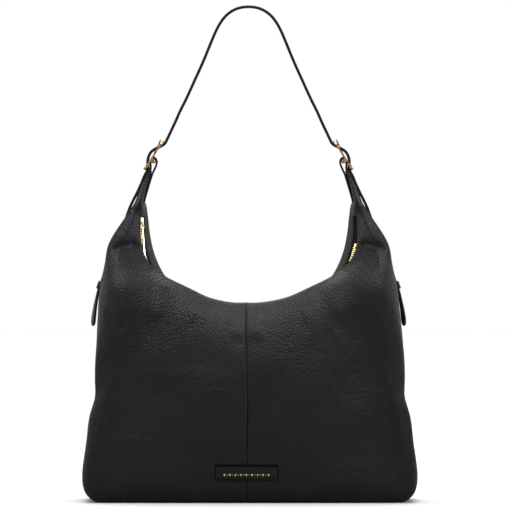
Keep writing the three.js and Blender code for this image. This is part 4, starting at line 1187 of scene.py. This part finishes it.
def prong(sx):
    (tx, tz), (cx, cz) = [(sx * abs(x), z) for x, z in (TOP_BAR, CENTRE_BAR)]
    d = np.array([tx - cx, 0, tz - cz])
    d /= np.linalg.norm(d)
    n = np.array([-d[2], 0, d[0]]) * (1 if sx < 0 else -1)
    C, Tp = np.array([cx, 0, cz]), np.array([tx, 0, tz])
    parts, rings = [], []
    prof = [(3.0, 1.25), (3.15, 0.7), (3.15, -0.7), (3.0, -1.25), (2.3, -1.4), (1.9, -1.2), (1.9, 1.2), (2.3, 1.4)]
    for a in np.linspace(0, 2 * math.pi, 28, endpoint=False):
        rings.append([C + np.array([r * math.cos(a), w, r * math.sin(a)]) for r, w in prof])
    parts.append(sweep(rings, closed=True))
    tip = Tp + n * 2.75 + d * 2.4
    path, _ = catmull([C + n * 1.2 + d * 2.3, C + n * 2.2 + d * 6.5, C * 0.45 + Tp * 0.55 + n * 2.5, Tp + n * 2.85 - d * 1.2, tip], 24)
    tg = np.gradient(path, axis=0)
    tg /= np.linalg.norm(tg, axis=1, keepdims=True)
    rings = []
    for i, (p, g) in enumerate(zip(path, tg)):
        q = i / (len(path) - 1)
        r = 1.12 - 0.3 * q
        if q > 0.9:
            r *= math.sqrt(max(0.05, 1 - ((q - 0.9) / 0.1) ** 2))
        m = np.cross(g, (0, 1, 0))
        rings.append([p + np.array([0, 1, 0]) * r * 1.15 * math.cos(a) + m * r * math.sin(a) for a in np.linspace(0, 2 * math.pi, 14, endpoint=False)])
    parts.append(sweep(rings))
    return merge(parts)


for sx, side in ((-1, "left"), (1, "right")):
    ride(make("buckle_body_" + side, *buckle(sx), M_BUCKLE), "handle", ["buckle_frame_" + side])
    ride(make("prong_body_" + side, *prong(sx), M_BUCKLE), "handle", ["buckle_prong_" + side])


# ------------------------------------------------------------------ keepers on the gussets
def keeper(sx):
    tilt = math.atan2(176.4 - 168.7, 260.2 - 243) * 0.78
    c, s = math.cos(tilt), math.sin(tilt)
    base = np.array([sx * 172.3, 0, 250.0])

    def place(a, y, h):              # a: away from the bag, h: along the strap
        x, z = -a, h
        X, Z = c * x + s * z, -s * x + c * z
        return base + np.array([X if sx < 0 else -X, y, Z])

    pts = []
    x0, x1, hy, rc = -2.9, 2.75, 11.7, 1.6
    for (ax, ay), a0 in (((x1 - rc, hy - rc), 0), ((x0 + rc, hy - rc), 90), ((x0 + rc, -hy + rc), 180), ((x1 - rc, -hy + rc), 270)):
        for k in range(5):
            a = math.radians(a0 + 90 * k / 4)
            pts.append((ax + rc * math.cos(a), ay + rc * math.sin(a)))
    path, _ = catmull(pts, 90, closed=True)
    tg = np.roll(path, -1, 0) - np.roll(path, 1, 0)
    tg /= np.linalg.norm(tg, axis=1, keepdims=True)
    rings = []
    for p, g in zip(path, tg):
        out = np.array([g[1], -g[0]])
        rings.append([place(*(p + out * cc * 1.0), hh) for hh, cc in rounded_rect(4.4, 0.72, 0.6, 3, 0.1)])
    v, f = sweep(rings, closed=True)
    st = []
    for hh in (-3.1, 3.1):
        row = np.array([place(x1 + 0.78, y, hh) for y in np.linspace(-9.2, 9.2, 16)])
        nn = np.tile(place(1, 0, 0) - place(0, 0, 0), (16, 1))
        st += stitch_parts(row, nn, None, pitch=3.0, length=2.2, rad=0.24, lift=0.0, start=0.1)
    return (v, f), merge(st)


for sx, side in ((-1, "left"), (1, "right")):
    body, thread = keeper(sx)
    ride(make("keeper_leather_" + side, *body, M_STRAP), "bag", ["strap_keeper_" + side])
    ride(make("keeper_stitches_" + side, *thread, M_THREAD), "bag")

# ------------------------------------------------------------------ label patch with a plain foil ornament
FL, FR = panels[(True, True)], panels[(True, False)]


def front_surface(x, z):
    x, z = np.asarray(x, float), np.asarray(z, float)
    yl, yr = surface_y(FL, x, z), surface_y(FR, x, z)
    return np.where(x < 0, yl, yr)


LABEL_Z = 35.4


def patch():
    hx, hz, rc = 36.9, 9.0, 1.8
    us = np.concatenate([[-1, -0.995, -0.985, -0.965, -0.93], np.linspace(-0.86, 0.86, 31), [0.93, 0.965, 0.985, 0.995, 1]])
    vs = np.concatenate([[-1, -0.98, -0.93, -0.85], np.linspace(-0.7, 0.7, 9), [0.85, 0.93, 0.98, 1]])
    U, V = np.meshgrid(us, vs, indexing="ij")
    X, Z = U * hx, V * hz
    # round the corners
    ex, ez = hx - np.abs(X), hz - np.abs(Z)
    pull = np.clip(1 - ex / rc, 0, 1) * np.clip(1 - ez / rc, 0, 1)
    X -= np.sign(X) * pull * rc * 0.29
    Z -= np.sign(Z) * pull * rc * 0.29
    xs = X - 2.3
    zs = Z + LABEL_Z
    ys = -62.6 + 0.0 * X
    col = np.array([float(front_surface(np.array([0.0 + 20]), np.array([zz]))[0]) for zz in (25, 30, 35, 40, 46)])
    ysurf = np.interp(zs, (25, 30, 35, 40, 46), col)
    bend = 0.0
    e = np.minimum(ex, ez)
    dome = 1.0 - np.exp(-e / 0.55)
    y_out = ysurf + bend - 0.35 - 1.85 * dome - 0.12 * np.minimum(e, 6) / 6
    y_in = ysurf + bend - 0.2
    # a line pressed just inside the edge
    y_out = y_out + 0.12 * np.exp(-((e - 1.7) / 0.4) ** 2)
    # partly real black edge paint, partly painted shade: the top band and the side edges take the near-black colour,
    # while the bottom edge keeps the leather
    shaded_rim = (((e < 0.6) & (V > -0.9)) | (hz - V * hz < 1.5)).reshape(-1)
    return np.stack([xs, y_out, zs], 2), np.stack([xs, y_in, zs], 2), shaded_rim


outer, inner, shaded_rim = patch()
v, f = wall(outer, inner)
shaded_rim = np.concatenate([shaded_rim, shaded_rim])
label = make("label_leather", v, f, [M_PATCH, M_SHADE_BLACK], sharp=60, mat_of=[1 if sum(shaded_rim[i] for i in q) > 1 else 0 for q in f])
ride(label, "bag", ["label_patch"])


def foil(points, z0):
    pts = np.array(points)
    n = len(pts)
    out = []
    for dy in (0.0, -0.12):
        for x, z in pts:
            i = np.argmin(np.abs(outer[:, 8, 0] - x))
            yy = np.interp(z + z0, outer[i, :, 2], outer[i, :, 1])
            out.append((x, yy + 0.03 + dy, z + z0))
    faces = [list(range(n - 1, -1, -1)), list(range(n, 2 * n))] + [[i, (i + 1) % n, n + (i + 1) % n, n + i] for i in range(n)]
    return np.array(out), faces


# a row of small diamonds and dots
parts = []
for k in range(-8, 9):
    cx = -2.3 + k * 3.2
    if k % 2 == 0:
        parts.append(foil([(cx, -1.45), (cx + 0.95, 0), (cx, 1.45), (cx - 0.95, 0)], LABEL_Z - 2.9))
    else:
        parts.append(foil([(cx + 0.45 * math.cos(a), 0.45 * math.sin(a)) for a in np.linspace(0, 2 * math.pi, 8, endpoint=False)], LABEL_Z - 2.9))
ride(make("label_ornament", *merge(parts), M_FOIL, smooth_all=False), "bag")

# ------------------------------------------------------------------ stitching on the body
parts = []
zz = np.concatenate([np.arange(4, 22, 1.5), np.arange(43.5, 229, 1.5)])
for lo_z, hi_z in ((8, 25.0), (46.0, 228.5)):
    zz = np.arange(lo_z, hi_z, 1.5)
    xx = np.full(zz.shape, 2.6)
    yy = surface_y(FR, xx, zz)
    parts += stitch_parts(np.stack([xx + lean(xx, zz), yy - 0.02, zz], 1), np.tile([0.0, -1.0, 0.0], (len(zz), 1)), None, pitch=3.3, length=2.4, rad=0.27, lift=-0.08)
    BL = panels[(False, True)]
    yb = surface_y(BL, xx, zz - 3.0)
    parts += stitch_parts(np.stack([-xx + lean(xx, zz), yb + 0.02, zz - 3.0], 1), np.tile([0.0, 1.0, 0.0], (len(zz), 1)), None, pitch=3.3, length=2.4, rad=0.27, lift=-0.08)
for (front, left), p in panels.items():
    j = int(EDGES[2])
    sel = (THETA > -4) & (THETA < 89)
    parts += stitch_parts(p.grid[sel, j], p.n[sel, j], None, pitch=3.2, length=2.3, rad=0.25, lift=0.05)
ride(make("body_stitches", *merge(parts), M_THREAD), "bag")

# ------------------------------------------------------------------ hidden pieces keep their CAD solids
for name, m in (("lining", M_CLOTH), ("inner_pocket", M_CLOTH), ("base_board", M_BOARD)):
    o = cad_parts[name]
    o.data.materials.clear()
    o.data.materials.append(m)
    for p in o.data.polygons:
        p.material_index = 0

# ------------------------------------------------------------------ floor, light and camera
floor = bpy.data.meshes.new("floor")
S = 6.0
floor.from_pydata([(-S, -S, 0), (S, -S, 0), (S, S, 0), (-S, S, 0)], [], [(0, 1, 2, 3)])
fo = bpy.data.objects.new("floor", floor)
bpy.context.scene.collection.objects.link(fo)
fm, fnt, fb = new_mat("floor_paper")
fb.inputs["Base Color"].default_value = (0.29, 0.29, 0.29, 1)
fb.inputs["Roughness"].default_value = 0.9
fb.inputs["Specular IOR Level"].default_value = 0.1
floor.materials.append(fm)
fo.location = (0, 0, -0.0006)

world = bpy.data.worlds.new("studio")
bpy.context.scene.world = world
world.use_nodes = True
wn = world.node_tree
wl = wn.links.new
bg = wn.nodes["Background"]
out = wn.nodes["World Output"]
# a dim studio that grows brighter overhead and behind the object; the backdrop itself is plain white
wtc = wn.nodes.new("ShaderNodeTexCoord")
sep = wn.nodes.new("ShaderNodeSeparateXYZ")
wl(wtc.outputs["Generated"], sep.inputs[0])
up = ramp(wn, [(0.0, 0.5), (0.5, 0.82), (0.66, 0.82), (0.85, 0.88), (1.0, 1.0)])
mr = wn.nodes.new("ShaderNodeMapRange")
mr.inputs["From Min"].default_value = -1
wl(sep.outputs["Z"], mr.inputs["Value"])
wl(mr.outputs["Result"], up.inputs["Fac"])
# the side the front faces is left dark
fr = ramp(wn, [(0.0, 0.055), (0.06, 0.08), (0.2, 0.7), (0.5, 1.0)])
mr2 = wn.nodes.new("ShaderNodeMapRange")
mr2.inputs["From Min"].default_value = -1
wl(sep.outputs["Y"], mr2.inputs["Value"])
wl(mr2.outputs["Result"], fr.inputs["Fac"])
both = wn.nodes.new("ShaderNodeMath")
both.operation = "MULTIPLY"
wl(up.outputs["Color"], both.inputs[0])
wl(fr.outputs["Color"], both.inputs[1])
wl(both.outputs[0], bg.inputs["Color"])
bg.inputs["Strength"].default_value = 0.9
white = wn.nodes.new("ShaderNodeBackground")
white.inputs["Color"].default_value = (1, 1, 1, 1)
white.inputs["Strength"].default_value = 1.0
lp = wn.nodes.new("ShaderNodeLightPath")
mixw = wn.nodes.new("ShaderNodeMixShader")
wl(lp.outputs["Is Camera Ray"], mixw.inputs[0])
wl(bg.outputs[0], mixw.inputs[1])
wl(white.outputs[0], mixw.inputs[2])
wl(mixw.outputs[0], out.inputs["Surface"])


def area(name, loc, target, size, power, size_y=None, colour=(1, 1, 1)):
    d = bpy.data.lights.new(name, "AREA")
    d.energy, d.size, d.color = power, size, colour
    if size_y:
        d.shape, d.size_y = "RECTANGLE", size_y
    o = bpy.data.objects.new(name, d)
    bpy.context.scene.collection.objects.link(o)
    o.location = loc
    o.rotation_euler = (Vector(target) - Vector(loc)).to_track_quat("-Z", "Y").to_euler()
    return o


def sun(name, loc, strength, angle):
    d = bpy.data.lights.new(name, "SUN")
    d.energy, d.angle = strength, math.radians(angle)
    o = bpy.data.objects.new(name, d)
    bpy.context.scene.collection.objects.link(o)
    o.location = loc
    o.rotation_euler = (-Vector(loc)).to_track_quat("-Z", "Y").to_euler()
    return o


sun("overhead", (-0.05, 0.4, 1.0), 5.5, 50)
sun("high_front", (0.05, -0.75, 1.0), 4.5, 34)
area("side_left", (-2.1, -0.05, 0.7), (0, 0, 0.25), 1.5, 56)
area("side_right", (2.1, -0.05, 0.7), (0, 0, 0.25), 1.5, 62)

cam = bpy.data.cameras.new("camera")
co = bpy.data.objects.new("camera", cam)
bpy.context.scene.collection.objects.link(co)
cam.lens = 900
cam.sensor_width = 36
cam.clip_end = 60
DIST = 0.594 * 900 / 36 * 1.0015
EL = math.radians(1.5)
tgt = Vector((0.0087, 0, 0.2842))
co.location = tgt + Vector((0, -DIST * math.cos(EL), DIST * math.sin(EL)))
co.rotation_euler = (tgt - co.location).to_track_quat("-Z", "Y").to_euler()
bpy.context.scene.camera = co
bpy.context.scene.view_settings.view_transform = "Standard"
